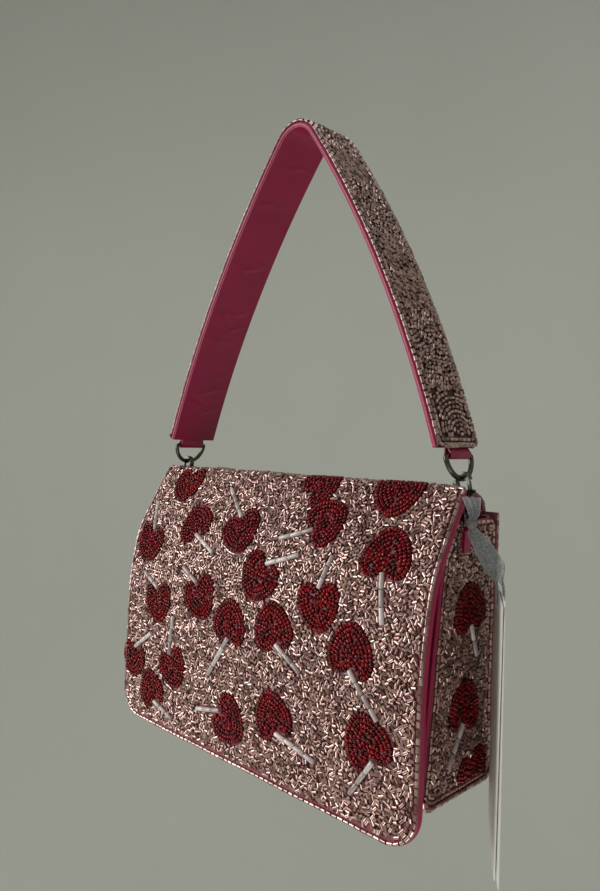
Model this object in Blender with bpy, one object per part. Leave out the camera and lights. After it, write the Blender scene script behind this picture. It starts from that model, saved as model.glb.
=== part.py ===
"""A beaded evening shoulder bag, as it hangs from a hook by its short strap.

All sizes are in metres. X runs to the bag's right as seen from its front, Y to the
back and Z up. The world's origin is the seat on the strap's underside that lies on a
hook. Every piece is modelled from the middle of the bag, with Z zero at the crest of
the flap and Y zero in the middle plane of the strap, and one empty then carries the
whole bag to its place under the hook.
"""

import math

import bmesh
import bpy
from mathutils import Matrix, Vector

# Body of the bag
BODY_WIDTH = 0.193
BODY_HEIGHT = 0.130
BASE_DEPTH = 0.0535
MOUTH_DEPTH = 0.041
MOUTH_DROP = 0.030
STRAP_TO_BACK = 0.0285
BOTTOM_ROUND = 0.006
FRONT_BULGE = 0.0062
GUSSET_TOP_DROP = 0.015
GUSSET_TOP_RUN = 0.030
GUSSET_TOP_BACK = 0.0025

# Flap, which starts at the seam on the back, runs over the crest and falls in front
FLAP_OVERHANG = 0.005
FLAP_BELOW_BASE = 0.0095
FLAP_STANDOFF = 0.012
FLAP_CORNER = 0.015
CREST_TO_BACK = 0.03575
SEAM_DROP = 0.012
SEAM_GAP = 0.0007
TOP_TO_CLASP = 0.0005
TOP_WIDE_RUN = 0.0055
TOP_TAPER_RUN = 0.004

# Layers of cloth, beads and board
BEADED_CLOTH = 0.0022
SATIN = 0.0008
LINING = 0.0006
FRONT_BOARD = 0.0015
BACK_BOARD = 0.0025
FLAP_BOARD = 0.0008
BASE_BOARD = 0.0020
PIPING_RADIUS = 0.0012
BEAD_ROW_RADIUS = 0.0011
GAP = 0.0003

# Strap
STRAP_WIDTH = 0.030
STRAP_RISE = 0.154
STRAP_INSET = 0.0067
STRAP_HANG = 0.0155
STRAP_BOW = math.radians(9)
HOOK_OFFSET = 0.005
CREST_BEND = 0.012
STRAP_BEADS = 0.0018
STRAP_CORE = 0.0013
STRAP_LINING = 0.0005

# Ring at each end of the strap and the satin tab that holds it
TAB_WIDTH = 0.0155
TAB_CLOTH = 0.0005
TAB_IN_STRAP = 0.009
TAB_DROP = 0.0036
RING_HALF_WIDTH = 0.0096
RING_WIRE = 0.0011
RING_ARC_DROP = 0.0006
RING_CORNER = 0.0015

# Hook clasp on each ring
CLASP_PLAY = 0.0005
CLASP_WIDTH = 0.008
CLASP_THICKNESS = 0.003
CLASP_HOLE_WIDTH = 0.0046
CLASP_HOLE_HEIGHT = 0.0066
CLASP_WALL = 0.0015
CLASP_ROOT = 0.0030
CLASP_NECK_WIDTH = 0.0040
COLLAR_HEIGHT = 0.0026
COLLAR_FLOOR = 0.0007
STUD_RADIUS = 0.0008
STUD_HEAD_RADIUS = 0.0012
STUD_HEAD_HEIGHT = 0.0006
EYE_RADIUS = 0.0024
EYE_WIRE = 0.0006
LEVER_THICKNESS = 0.0014
LEVER_WIDTH = 0.0013
LEVER_PIN_RADIUS = 0.0004
LEVER_HEEL_RADIUS = 0.0012
LEVER_KNOB_REACH = 0.0022
LEVER_TIP_DROP = 0.0028
LEVER_BITE = 0.0002

# Small ring and tab on each side of the bag
SIDE_RING_HALF_WIDTH = 0.0042
SIDE_RING_WIRE = 0.0007
SIDE_RING_ARC_RISE = 0.0006
SIDE_RING_CORNER = 0.0012
SIDE_RING_STANDOFF = 0.0027
SIDE_TAB_WIDTH = 0.0048
SIDE_TAB_LENGTH = 0.0115
SIDE_TAB_WRAP = math.radians(230)

# Magnetic snap between the flap and the front of the bag
SNAP_RISE = 0.030
SNAP_RADIUS = 0.007
STUD_PLATE = 0.0016
STUD_BOSS_RADIUS = 0.0028
STUD_BOSS_HEIGHT = 0.0012
SOCKET_SEAT = 0.0005
WASHER_RADIUS = 0.006

# Ribbon and its two blank cards
KNOT_RADIUS = 0.0022
RIBBON_CLOTH = 0.0005
RIBBON_WIDTH = 0.009
RIBBON_NARROW = 0.0016
RIBBON_SEAT = 0.0013
RIBBON_REACH = 0.012
RIBBON_FALL = 0.032
RIBBON_TOP_SPREAD = 0.0009
CARD_WIDTH = 0.045
CARD_LENGTH = 0.105
CARD_THICKNESS = 0.0006
CARD_HOLE_RADIUS = 0.0025
CARD_HOLE_INSET = 0.006
CARD_TURN = math.radians(33)
CARD_FAN = math.radians(2.5)

# One overrun serves all cuts
OVERRUN = 0.001

# Shares of the flap's reach and fall, from the crest down to its lower edge
FLAP_LINE_SHARES = [
    (0.0, 0.0),
    (0.06, 0.009),
    (0.135, 0.030),
    (0.29, 0.086),
    (0.482, 0.158),
    (0.70, 0.244),
    (0.84, 0.358),
    (0.93, 0.516),
    (0.965, 0.717),
    (1.0, 1.0),
]
# The point of that line where the flap folds when it is opened
FOLD_POINT = 2
# Shares of the crest's distance to the back and of the seam's drop
TOP_LINE_SHARES = [
    (0.0, 0.0),
    (0.12, 0.01),
    (0.35, 0.10),
    (0.70, 0.28),
    (0.90, 0.50),
    (0.98, 0.75),
    (1.0, 1.0),
]
# Shares of the ribbon's reach and fall, from its knot to the cards
RIBBON_LINE_SHARES = [(0.0, 0.0), (0.45, 0.32), (0.86, 0.60), (1.0, 0.80)]

# How finely curves are divided, and the angle from which an edge is shown sharp
STEPS_PER_SPAN = 3
CORNER_STEPS = 6
STRAP_LEG_STEPS = 14
STRAP_BEND_STEPS = 8
SLOPE_TRIES = 30
RING_ARC_STEPS = 16
ROUND_STEPS = 24
SMALL_ROUND_STEPS = 14
WIRE_SIDES = 8
CORD_SIDES = 10
BEAD_ROW_SIDES = 6
KNOT_COLUMNS = 12
KNOT_ROWS = 8
EDGE_STEPS = 16
FRONT_COLUMNS = 10
FRONT_ROWS = 8
SHARP_ANGLE = math.radians(35)

X, Y, Z = Vector((1, 0, 0)), Vector((0, 1, 0)), Vector((0, 0, 1))

# Places that follow from the sizes above
BODY_SIDE = BODY_WIDTH / 2
FLAP_SIDE = BODY_SIDE + FLAP_OVERHANG
FLAP_FALL = BODY_HEIGHT + FLAP_BELOW_BASE
SNAP_DROP = BODY_HEIGHT - SNAP_RISE
STRAP_END = BODY_SIDE - STRAP_INSET
CREST_Y = STRAP_TO_BACK - CREST_TO_BACK
LIP_Y = STRAP_TO_BACK - MOUTH_DEPTH
BASE_FRONT_Y = STRAP_TO_BACK - BASE_DEPTH
FLAP_REACH = CREST_Y - BASE_FRONT_Y + FLAP_STANDOFF
BOARD_SIDE = BODY_SIDE - BEADED_CLOTH - GAP - LINING - GAP
FLAP_LAYERS = BEADED_CLOTH + GAP + FLAP_BOARD + GAP + LINING
PLACE_UNDER_HOOK = Vector((-HOOK_OFFSET, 0, -(STRAP_HANG + STRAP_RISE)))


def clear_scene():
    for old in list(bpy.data.objects):
        bpy.data.objects.remove(old, do_unlink=True)


def finish_material(name, colour, roughness, metallic=0.0):
    """A plain finish: sRGB colour from 0 to 1, roughness and metallic value."""
    material = bpy.data.materials.new(name)
    material.use_nodes = True
    shader = material.node_tree.nodes["Principled BSDF"]
    shader.inputs["Base Color"].default_value = (*[c**2.2 for c in colour], 1)
    shader.inputs["Roughness"].default_value = roughness
    shader.inputs["Metallic"].default_value = metallic
    return material


def frame(name, place, turn=None, parent=None):
    """An empty on a joint's axis, given in the bag's own coordinates."""
    empty = bpy.data.objects.new(name, None)
    bpy.context.collection.objects.link(empty)
    matrix = Matrix.Translation(place) @ (turn or Matrix.Identity(4))
    empty["in_bag"] = [v for row in matrix for v in row]
    if parent:
        empty.parent = parent
        empty.matrix_basis = in_bag(parent).inverted() @ matrix
    else:
        empty.matrix_basis = matrix
    return empty


def in_bag(empty):
    """Where an empty stands in the bag's own coordinates."""
    values = list(empty["in_bag"])
    return Matrix([values[4 * row : 4 * row + 4] for row in range(4)])


def piece(name, form, material, body):
    """Turns a form in the bag's coordinates into a named object carried by a body."""
    form.transform(in_bag(body).inverted())
    bmesh.ops.recalc_face_normals(form, faces=form.faces)
    mesh = bpy.data.meshes.new(name)
    form.to_mesh(mesh)
    form.free()
    mesh.materials.append(material)
    mesh.shade_smooth()
    mesh.set_sharp_from_angle(angle=SHARP_ANGLE)
    made = bpy.data.objects.new(name, mesh)
    made.parent = body
    bpy.context.collection.objects.link(made)
    return made


def combine(target, name, form, body, operation="DIFFERENCE"):
    """Takes a form out of an object, or adds it, by a Boolean with a hidden helper."""
    helper = piece(name, form, target.data.materials[0], body)
    helper.hide_render = True
    helper.display_type = "WIRE"
    helper.hide_set(True)
    boolean = target.modifiers.new(name, "BOOLEAN")
    boolean.operation = operation
    boolean.object = helper


def smooth_line(points, steps=STEPS_PER_SPAN):
    """A smooth line through points in the YZ plane, with the same steps in each span."""
    ends = [2 * points[0] - points[1], *points, 2 * points[-1] - points[-2]]
    line = []
    for before, start, end, after in zip(ends, ends[1:], ends[2:], ends[3:]):
        for step in range(steps):
            t = step / steps
            a = 2 * start
            b = end - before
            c = 2 * before - 5 * start + 4 * end - after
            d = 3 * start - before - 3 * end + after
            line.append((a + b * t + c * t**2 + d * t**3) / 2)
    return [*line, points[-1]]


def arc(centre, radius, start, end, steps, right=Y, up=Z):
    """Points on an arc from one angle to another, in the plane of right and up."""
    turns = [start + (end - start) * i / steps for i in range(steps + 1)]
    return [
        centre + radius * (math.cos(a) * right + math.sin(a) * up) for a in turns
    ]


def normals_of(line, across):
    """Unit vectors square to a line at its points, on its left seen along across."""
    normals = []
    for i in range(len(line)):
        before, after = line[max(i - 1, 0)], line[min(i + 1, len(line) - 1)]
        normals.append((after - before).normalized().cross(across).normalized())
    return normals


def offset_line(line, across, distance):
    return [
        point + normal * distance
        for point, normal in zip(line, normals_of(line, across))
    ]


def band(line, half_widths, low, high, across=X, columns=1, bulge=None):
    """A closed strip along a line, from one offset to another along its normals.

    half_widths gives half its width at each point, and bulge an extra offset from the
    share across, -1 to 1, and the share along, 0 to 1.
    """
    form = bmesh.new()
    normals = normals_of(line, across)
    layers = []
    for offset in (low, high):
        grid = []
        for i, (point, normal, half) in enumerate(zip(line, normals, half_widths)):
            row = []
            for j in range(columns + 1):
                share = 2 * j / columns - 1
                extra = bulge(share, i / (len(line) - 1)) if bulge else 0
                place = point + across * half * share + normal * (offset + extra)
                row.append(form.verts.new(place))
            grid.append(row)
        layers.append(grid)
    inner, outer = layers
    last = len(line) - 1
    for i in range(last):
        for j in range(columns):
            for grid in layers:
                form.faces.new(
                    (grid[i][j], grid[i + 1][j], grid[i + 1][j + 1], grid[i][j + 1])
                )
        for j in (0, columns):
            form.faces.new(
                (inner[i][j], inner[i + 1][j], outer[i + 1][j], outer[i][j])
            )
    for i in (0, last):
        for j in range(columns):
            form.faces.new(
                (inner[i][j], inner[i][j + 1], outer[i][j + 1], outer[i][j])
            )
    return form


def slab(outline, start, thickness):
    """A flat outline given a thickness along a direction, from a start offset."""
    form = bmesh.new()
    side = thickness.normalized()
    low = [form.verts.new(point + side * start) for point in outline]
    high = [form.verts.new(point + side * start + thickness) for point in outline]
    form.faces.new(low)
    form.faces.new(high)
    for i in range(len(outline)):
        after = (i + 1) % len(outline)
        form.faces.new((low[i], low[after], high[after], high[i]))
    return form


def box(low, high):
    corners = [
        Vector((low.x, low.y, low.z)),
        Vector((high.x, low.y, low.z)),
        Vector((high.x, high.y, low.z)),
        Vector((low.x, high.y, low.z)),
    ]
    return slab(corners, 0, Z * (high.z - low.z))


def rod(start, end, radius, steps=SMALL_ROUND_STEPS):
    """A round bar between two points."""
    axis = (end - start).normalized()
    right = axis.orthogonal().normalized()
    ring = arc(start, radius, 0, 2 * math.pi, steps, right, axis.cross(right))[:-1]
    return slab(ring, 0, end - start)


def tube(line, radius, closed, sides=WIRE_SIDES):
    """A round tube along a line, closed on itself or with flat ends."""
    form = bmesh.new()
    count = len(line)
    rings = []
    normal = None
    for i, point in enumerate(line):
        if closed:
            along = (line[(i + 1) % count] - line[i - 1]).normalized()
        else:
            along = (line[min(i + 1, count - 1)] - line[max(i - 1, 0)]).normalized()
        if normal is None:
            normal = along.orthogonal().normalized()
        normal = (normal - along * normal.dot(along)).normalized()
        turn = arc(point, radius, 0, 2 * math.pi, sides, normal, along.cross(normal))
        rings.append([form.verts.new(p) for p in turn[:-1]])
    for i in range(count if closed else count - 1):
        first, second = rings[i], rings[(i + 1) % count]
        for j in range(sides):
            k = (j + 1) % sides
            form.faces.new((first[j], first[k], second[k], second[j]))
    if not closed:
        form.faces.new(rings[0])
        form.faces.new(rings[-1])
    return form


def front_y(z):
    """How far forward the front panel's outer face stands at its sides."""
    share = (-z - MOUTH_DROP) / (BODY_HEIGHT - MOUTH_DROP)
    return LIP_Y + (BASE_FRONT_Y - LIP_Y) * share


def flap_line():
    """The flap's outer face from the fold at the crest to the lower edge."""
    return [
        Vector((0, CREST_Y - FLAP_REACH * reach, -FLAP_FALL * fall))
        for reach, fall in FLAP_LINE_SHARES
    ]


def top_line():
    """The outer face from the seam on the back to the fold at the crest."""
    back = [
        Vector((0, CREST_Y + CREST_TO_BACK * reach, -SEAM_DROP * drop))
        for reach, drop in reversed(TOP_LINE_SHARES)
    ]
    return smooth_line([*back, *flap_line()[1 : FOLD_POINT + 1]])


def length_of(line):
    return sum((b - a).length for a, b in zip(line, line[1:]))


def lengths_along(line):
    """The distance from the start of a line to each of its points."""
    total, lengths = 0, [0]
    for a, b in zip(line, line[1:]):
        total += (b - a).length
        lengths.append(total)
    return lengths


def point_at(line, distance):
    """The point of a line at a distance from its start."""
    lengths = lengths_along(line)
    for a, b, near, far in zip(line, line[1:], lengths, lengths[1:]):
        if distance <= far:
            return a.lerp(b, (distance - near) / (far - near))
    return line[-1].copy()


def strap_line():
    """The strap's underside from its left end over the hook to its right end."""
    seat = Vector((HOOK_OFFSET, 0, STRAP_HANG + STRAP_RISE))
    bend_centre = seat - Z * CREST_BEND
    legs, slopes = [], []
    for side in (-1, 1):
        end = Vector((side * STRAP_END, 0, STRAP_HANG))
        slope = math.atan2(STRAP_RISE, STRAP_END)
        for _ in range(SLOPE_TRIES):
            leaves = bend_centre + CREST_BEND * Vector(
                (side * math.sin(slope), 0, math.cos(slope))
            )
            chord = leaves - end
            slope = math.atan2(chord.z, side * -chord.x) - STRAP_BOW
        radius = chord.length / (2 * math.sin(STRAP_BOW))
        bow_centre = end + Vector(
            (
                -side * radius * math.sin(slope + 2 * STRAP_BOW),
                0,
                -radius * math.cos(slope + 2 * STRAP_BOW),
            )
        )
        leg = [
            bow_centre
            + radius * Vector((side * math.sin(turn), 0, math.cos(turn)))
            for turn in (
                slope + 2 * STRAP_BOW * (1 - i / STRAP_LEG_STEPS)
                for i in range(STRAP_LEG_STEPS)
            )
        ]
        legs.append(leg)
        slopes.append(slope)
    bend = arc(
        bend_centre,
        CREST_BEND,
        math.pi / 2 + slopes[0],
        math.pi / 2 - slopes[1],
        STRAP_BEND_STEPS,
        X,
        Z,
    )
    return [*legs[0], *bend, *reversed(legs[1])]


def shorter(line, distance):
    """A line with a length taken off each end."""
    total = length_of(line)
    inside = [
        p
        for p, at in zip(line, lengths_along(line))
        if distance < at < total - distance
    ]
    return [point_at(line, distance), *inside, point_at(line, total - distance)]


def make_strap(body, finishes):
    line = strap_line()
    half = STRAP_WIDTH / 2
    core_low = STRAP_LINING + GAP
    beads_low = core_low + STRAP_CORE + GAP
    lining = band(line, [half] * len(line), 0, STRAP_LINING, Y)
    piece("strap_lining", lining, finishes["satin"], body)
    core_line = shorter(line, TAB_IN_STRAP + GAP)
    core_half = [half - STRAP_LINING] * len(core_line)
    core = band(core_line, core_half, core_low, core_low + STRAP_CORE, Y)
    piece("strap_core", core, finishes["board"], body)
    beads = band(line, [half] * len(line), beads_low, beads_low + STRAP_BEADS, Y)
    piece("strap_beadwork", beads, finishes["beads"], body)


class Hanging:
    """Where one side's ring, clasp and side ring lie along the line they hang on."""

    def __init__(self, side):
        line = strap_line()
        end, before = (line[-1], line[-2]) if side > 0 else (line[0], line[1])
        self.side = side
        self.along = (end - before).normalized()
        self.out = Vector((self.along.z * -side, 0, self.along.x * side))
        core_middle = STRAP_LINING + GAP + STRAP_CORE / 2
        self.tab_end = end + self.out * core_middle
        self.bar = self.tab_end + self.along * TAB_DROP
        self.ring_bottom = RING_ARC_DROP + RING_HALF_WIDTH
        ring_x = BODY_SIDE + SIDE_RING_STANDOFF
        lean = (ring_x - side * self.bar.x) / self.length()
        self.tilt = math.asin(lean)
        self.down = Vector((side * math.sin(self.tilt), 0, -math.cos(self.tilt)))
        self.outward = Vector((side * math.cos(self.tilt), 0, math.sin(self.tilt)))
        self.wire = self.bar + self.down * self.ring_bottom
        self.side_bar = self.bar + self.down * self.length()

    def length(self):
        """From the bar of the strap's ring to the bar of the side ring."""
        return self.ring_bottom + self.side_wire_drop() + self.side_ring_height()

    def side_ring_height(self):
        return SIDE_RING_HALF_WIDTH + SIDE_RING_ARC_RISE

    def hole_top(self):
        """Above the ring's wire, where the clasp's hook rests on it."""
        return RING_WIRE + CLASP_PLAY

    def body_bottom(self):
        return CLASP_HOLE_HEIGHT - self.hole_top() + CLASP_ROOT

    def collar_bottom(self):
        return self.body_bottom() + COLLAR_HEIGHT

    def eye_drop(self):
        """From the ring's wire down to the middle of the swivel eye."""
        return self.collar_bottom() + GAP + EYE_WIRE + EYE_RADIUS

    def side_wire_drop(self):
        """Down to the top wire of the side ring, which pulls on the eye's underside."""
        return self.eye_drop() + EYE_RADIUS - EYE_WIRE - GAP - SIDE_RING_WIRE

    def at(self, drop, outward=0.0, back=0.0):
        """A point by its drop below the ring's wire and its offsets from the line."""
        return self.wire + self.down * drop + self.outward * outward + Y * back


def d_ring(bar, down, half_width, arc_drop, corner):
    """The centre line of a ring with a straight bar and a round bottom."""
    centre = bar + down * arc_drop
    right, left = bar + Y * half_width, bar - Y * half_width
    turn = corner * (1 - math.cos(math.pi / 4))
    return [
        left + Y * corner,
        right - Y * corner,
        right - Y * turn + down * turn,
        *arc(centre, half_width, 0, math.pi, RING_ARC_STEPS, Y, down),
        left + Y * turn + down * turn,
    ]


def make_strap_end(label, hang, strap, finishes):
    top = hang.tab_end - hang.along * (TAB_IN_STRAP - GAP)
    radius = RING_WIRE + GAP + TAB_CLOTH / 2
    apart = (GAP + TAB_CLOTH) / 2
    turn = arc(
        hang.bar, radius, 0, math.pi, SMALL_ROUND_STEPS, hang.out, hang.along
    )
    line = [
        top + hang.out * apart,
        hang.tab_end + hang.out * apart,
        *turn,
        hang.tab_end - hang.out * apart,
        top - hang.out * apart,
    ]
    half = [TAB_WIDTH / 2] * len(line)
    tab = band(line, half, -TAB_CLOTH / 2, TAB_CLOTH / 2, Y)
    piece(f"{label}_strap_tab", tab, finishes["satin"], strap)
    ring = d_ring(hang.bar, hang.down, RING_HALF_WIDTH, RING_ARC_DROP, RING_CORNER)
    piece(f"{label}_d_ring", tube(ring, RING_WIRE, True), finishes["metal"], strap)


def clasp_outline(hang):
    """The clasp's body seen along Y: a round hook above a root that narrows."""
    half = CLASP_WIDTH / 2
    hook_top = hang.hole_top() + CLASP_WALL
    shoulder = CLASP_HOLE_HEIGHT - hang.hole_top()
    centre = hang.at(half - hook_top)
    hook = arc(centre, half, 0, math.pi, ROUND_STEPS // 2, hang.outward, -hang.down)
    neck = CLASP_NECK_WIDTH / 2
    return [
        *hook,
        hang.at(shoulder, -half),
        hang.at(hang.body_bottom(), -neck),
        hang.at(hang.body_bottom(), neck),
        hang.at(shoulder, half),
    ]


def make_clasp(label, hang, clasp, trigger, finishes):
    half_thick = CLASP_THICKNESS / 2
    shell = slab(clasp_outline(hang), -half_thick, Y * CLASP_THICKNESS)
    claw = piece(f"{label}_clasp_hook", shell, finishes["metal"], clasp)

    # The collar under the root turns on the stud of the swivel eye
    root = hang.body_bottom()
    bottom = hang.collar_bottom()
    collar = rod(hang.at(root - GAP), hang.at(bottom), CLASP_NECK_WIDTH / 2)
    combine(claw, f"{label}_collar", collar, clasp, "UNION")
    head_room = STUD_HEAD_RADIUS + GAP
    room = rod(hang.at(root), hang.at(bottom - COLLAR_FLOOR), head_room)
    combine(claw, f"{label}_head_room", room, clasp)
    way = rod(hang.at(root), hang.at(bottom + OVERRUN), STUD_RADIUS + GAP)
    combine(claw, f"{label}_stud_way", way, clasp)

    # The eye of the hook, with a round top that sits on the ring's wire
    reach = half_thick + OVERRUN
    hole_half = CLASP_HOLE_WIDTH / 2
    hole_low = CLASP_HOLE_HEIGHT - hang.hole_top()
    hole_centre = hang.at(hole_half - hang.hole_top())
    hole = [
        *arc(
            hole_centre,
            hole_half,
            0,
            math.pi,
            ROUND_STEPS // 2,
            hang.outward,
            -hang.down,
        ),
        hang.at(hole_low, -hole_half),
        hang.at(hole_low, hole_half),
    ]
    combine(claw, f"{label}_hook_hole", slab(hole, -reach, Y * 2 * reach), clasp)

    # The gap in the hook's outer wall, which the lever closes
    half = CLASP_WIDTH / 2
    mouth_top = LEVER_TIP_DROP - hang.hole_top() - GAP
    mouth = [
        hang.at(mouth_top, hole_half - LEVER_BITE - OVERRUN),
        hang.at(mouth_top, half + OVERRUN),
        hang.at(hole_low, half + OVERRUN),
        hang.at(hole_low, hole_half - LEVER_BITE - OVERRUN),
    ]
    combine(claw, f"{label}_hook_mouth", slab(mouth, -reach, Y * 2 * reach), clasp)

    # The slot in the root for the lever's heel, and the bore for its pin
    pivot = lever_pivot(hang)
    slot_half = LEVER_THICKNESS / 2 + GAP
    heel = LEVER_HEEL_RADIUS + GAP
    slot = [
        pivot - hang.outward * heel - hang.down * heel * 2,
        pivot + hang.outward * (half + OVERRUN) - hang.down * heel * 2,
        pivot + hang.outward * (half + OVERRUN) + hang.down * heel,
        pivot - hang.outward * heel + hang.down * heel,
    ]
    combine(claw, f"{label}_heel_slot", slab(slot, -slot_half, Y * 2 * slot_half), clasp)
    bore = rod(pivot - Y * reach, pivot + Y * reach, LEVER_PIN_RADIUS + GAP)
    combine(claw, f"{label}_pin_bore", bore, clasp)

    pin = rod(pivot - Y * half_thick, pivot + Y * half_thick, LEVER_PIN_RADIUS)
    piece(f"{label}_lever_pin", pin, finishes["metal"], clasp)
    make_lever(label, hang, trigger, finishes)


def lever_pivot(hang):
    """The lever's axis, in the root of the clasp near its outer wall."""
    drop = CLASP_HOLE_HEIGHT - hang.hole_top() + LEVER_HEEL_RADIUS
    outward = CLASP_HOLE_WIDTH / 2 + LEVER_WIDTH / 2
    return hang.at(drop, outward)


def make_lever(label, hang, trigger, finishes):
    """The sprung lever: a bar up to the hook's tip, a heel and a thumb knob."""
    pivot = lever_pivot(hang)
    up, out = -hang.down, hang.outward
    rise = (pivot - hang.at(LEVER_TIP_DROP - hang.hole_top())).dot(hang.down)
    half = LEVER_WIDTH / 2
    heel = arc(
        pivot,
        LEVER_HEEL_RADIUS,
        -math.pi,
        -math.pi / 6,
        SMALL_ROUND_STEPS // 2,
        out,
        up,
    )
    knob = out * LEVER_KNOB_REACH
    outline = [
        pivot - out * half + up * rise,
        pivot - out * half + up * LEVER_HEEL_RADIUS,
        *heel,
        pivot + knob - up * half,
        pivot + knob + up * half,
        pivot + out * half + up * LEVER_HEEL_RADIUS,
        pivot + out * half + up * rise,
    ]
    bar = slab(outline, -LEVER_THICKNESS / 2, Y * LEVER_THICKNESS)
    lever = piece(f"{label}_lever", bar, finishes["metal"], trigger)
    reach = Y * LEVER_THICKNESS
    bore = rod(pivot - reach, pivot + reach, LEVER_PIN_RADIUS + GAP)
    combine(lever, f"{label}_lever_bore", bore, trigger)


def make_swivel_eye(label, hang, bag, finishes):
    """A round eye with a stud whose head turns inside the clasp's collar."""
    centre = hang.at(hang.eye_drop())
    circle = arc(
        centre, EYE_RADIUS, 0, 2 * math.pi, ROUND_STEPS, hang.outward, hang.down
    )
    wire = tube(circle[:-1], EYE_WIRE, True)
    eye = piece(f"{label}_swivel_eye", wire, finishes["metal"], bag)
    head_low = hang.collar_bottom() - COLLAR_FLOOR - GAP
    stud_foot = hang.eye_drop() - EYE_RADIUS
    stud_top = hang.at(head_low - STUD_HEAD_HEIGHT / 2)
    stud = rod(stud_top, hang.at(stud_foot), STUD_RADIUS)
    combine(eye, f"{label}_eye_stud", stud, bag, "UNION")
    head_top = hang.at(head_low - STUD_HEAD_HEIGHT)
    head = rod(head_top, hang.at(head_low), STUD_HEAD_RADIUS)
    combine(eye, f"{label}_eye_head", head, bag, "UNION")


def make_side_ring(label, hang, bag, finishes):
    ring = d_ring(
        hang.side_bar,
        -hang.down,
        SIDE_RING_HALF_WIDTH,
        SIDE_RING_ARC_RISE,
        SIDE_RING_CORNER,
    )
    form = tube(ring, SIDE_RING_WIRE, True)
    piece(f"{label}_side_ring", form, finishes["metal"], bag)

    # The tab comes down from the ring's bar and lies flat on the gusset
    out = X * hang.side
    radius = SIDE_RING_WIRE + GAP + TAB_CLOTH / 2
    face = out * (BODY_SIDE + GAP + TAB_CLOTH / 2)
    inner = Vector((face.x, 0, hang.side_bar.z))
    outer = inner + out * (GAP + TAB_CLOTH)
    over = arc(hang.side_bar, radius, 0, SIDE_TAB_WRAP, SMALL_ROUND_STEPS, -out, Z)
    line = [
        inner - Z * SIDE_TAB_LENGTH,
        inner - Z * radius * 2,
        *over,
        outer - Z * radius * 2 + out * GAP,
        outer - Z * SIDE_TAB_LENGTH,
    ]
    half = [SIDE_TAB_WIDTH / 2] * len(line)
    tab = band(line, half, -TAB_CLOTH / 2, TAB_CLOTH / 2, Y)
    piece(f"{label}_side_tab", tab, finishes["satin"], bag)


def side_outline(front, back, base, top):
    """The body's side view, set in from its front, back and base."""
    low = -BODY_HEIGHT + base
    inset = max(front, back)
    corner = max(BOTTOM_ROUND - inset, GAP)
    back_y = STRAP_TO_BACK - back
    front_low_y = front_y(-BODY_HEIGHT + BOTTOM_ROUND) + inset
    back_round = Vector((0, back_y - corner, low + corner))
    front_round = Vector((0, front_low_y + corner, low + corner))
    return [
        *arc(front_round, corner, math.pi, 1.5 * math.pi, CORNER_STEPS),
        *arc(back_round, corner, -math.pi / 2, 0, CORNER_STEPS),
        Vector((0, back_y, -top - GUSSET_TOP_BACK)),
        Vector((0, back_y - GUSSET_TOP_BACK, -top)),
        Vector((0, back_y - GUSSET_TOP_RUN, -top)),
        Vector((0, LIP_Y + front, -MOUTH_DROP)),
    ]


def swell(across, along):
    """How far the front panel bulges, from the shares across and down it."""
    return FRONT_BULGE * math.cos(math.pi / 2 * across) * math.sin(math.pi * along)


def front_line():
    """The front panel's outer face at its sides, from the lip down to its foot."""
    foot_z = -BODY_HEIGHT + BOTTOM_ROUND
    lip = Vector((0, LIP_Y, -MOUTH_DROP))
    foot = Vector((0, front_y(foot_z), foot_z + SEAM_GAP))
    return [lip.lerp(foot, i / FRONT_ROWS) for i in range(FRONT_ROWS + 1)]


def make_base_and_back(bag, finishes):
    half = BODY_SIDE
    round_z = -BODY_HEIGHT + BOTTOM_ROUND
    front_corner = Vector((0, front_y(round_z) + BOTTOM_ROUND, round_z))
    back_corner = Vector((0, STRAP_TO_BACK - BOTTOM_ROUND, round_z))
    base_line = [
        *arc(front_corner, BOTTOM_ROUND, math.pi, 1.5 * math.pi, CORNER_STEPS),
        *arc(back_corner, BOTTOM_ROUND, -math.pi / 2, 0, CORNER_STEPS),
    ]
    base = band(base_line, [half] * len(base_line), -BEADED_CLOTH, 0)
    piece("base_panel", base, finishes["beads"], bag)
    back_line = [
        Vector((0, STRAP_TO_BACK, round_z + GAP)),
        Vector((0, STRAP_TO_BACK, -SEAM_DROP - SEAM_GAP)),
    ]
    back = band(back_line, [half] * len(back_line), -BEADED_CLOTH, 0)
    piece("back_panel", back, finishes["beads"], bag)


def make_front(bag, finishes):
    """A satin panel that bulges towards the flap, its board and its lining."""
    line = front_line()
    layers = (
        ("front_panel", "satin", BODY_SIDE - 2 * PIPING_RADIUS - GAP, SATIN),
        ("front_board", "board", BOARD_SIDE, FRONT_BOARD),
        ("front_lining", "satin", BOARD_SIDE, LINING),
    )
    made = {}
    depth = 0
    for name, finish, half, thickness in layers:
        low, high = -depth - thickness, -depth
        halves = [half] * len(line)
        form = band(line, halves, low, high, X, FRONT_COLUMNS, swell)
        made[name] = piece(name, form, finishes[finish], bag)
        depth += thickness + GAP
    return made["front_board"]


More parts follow.
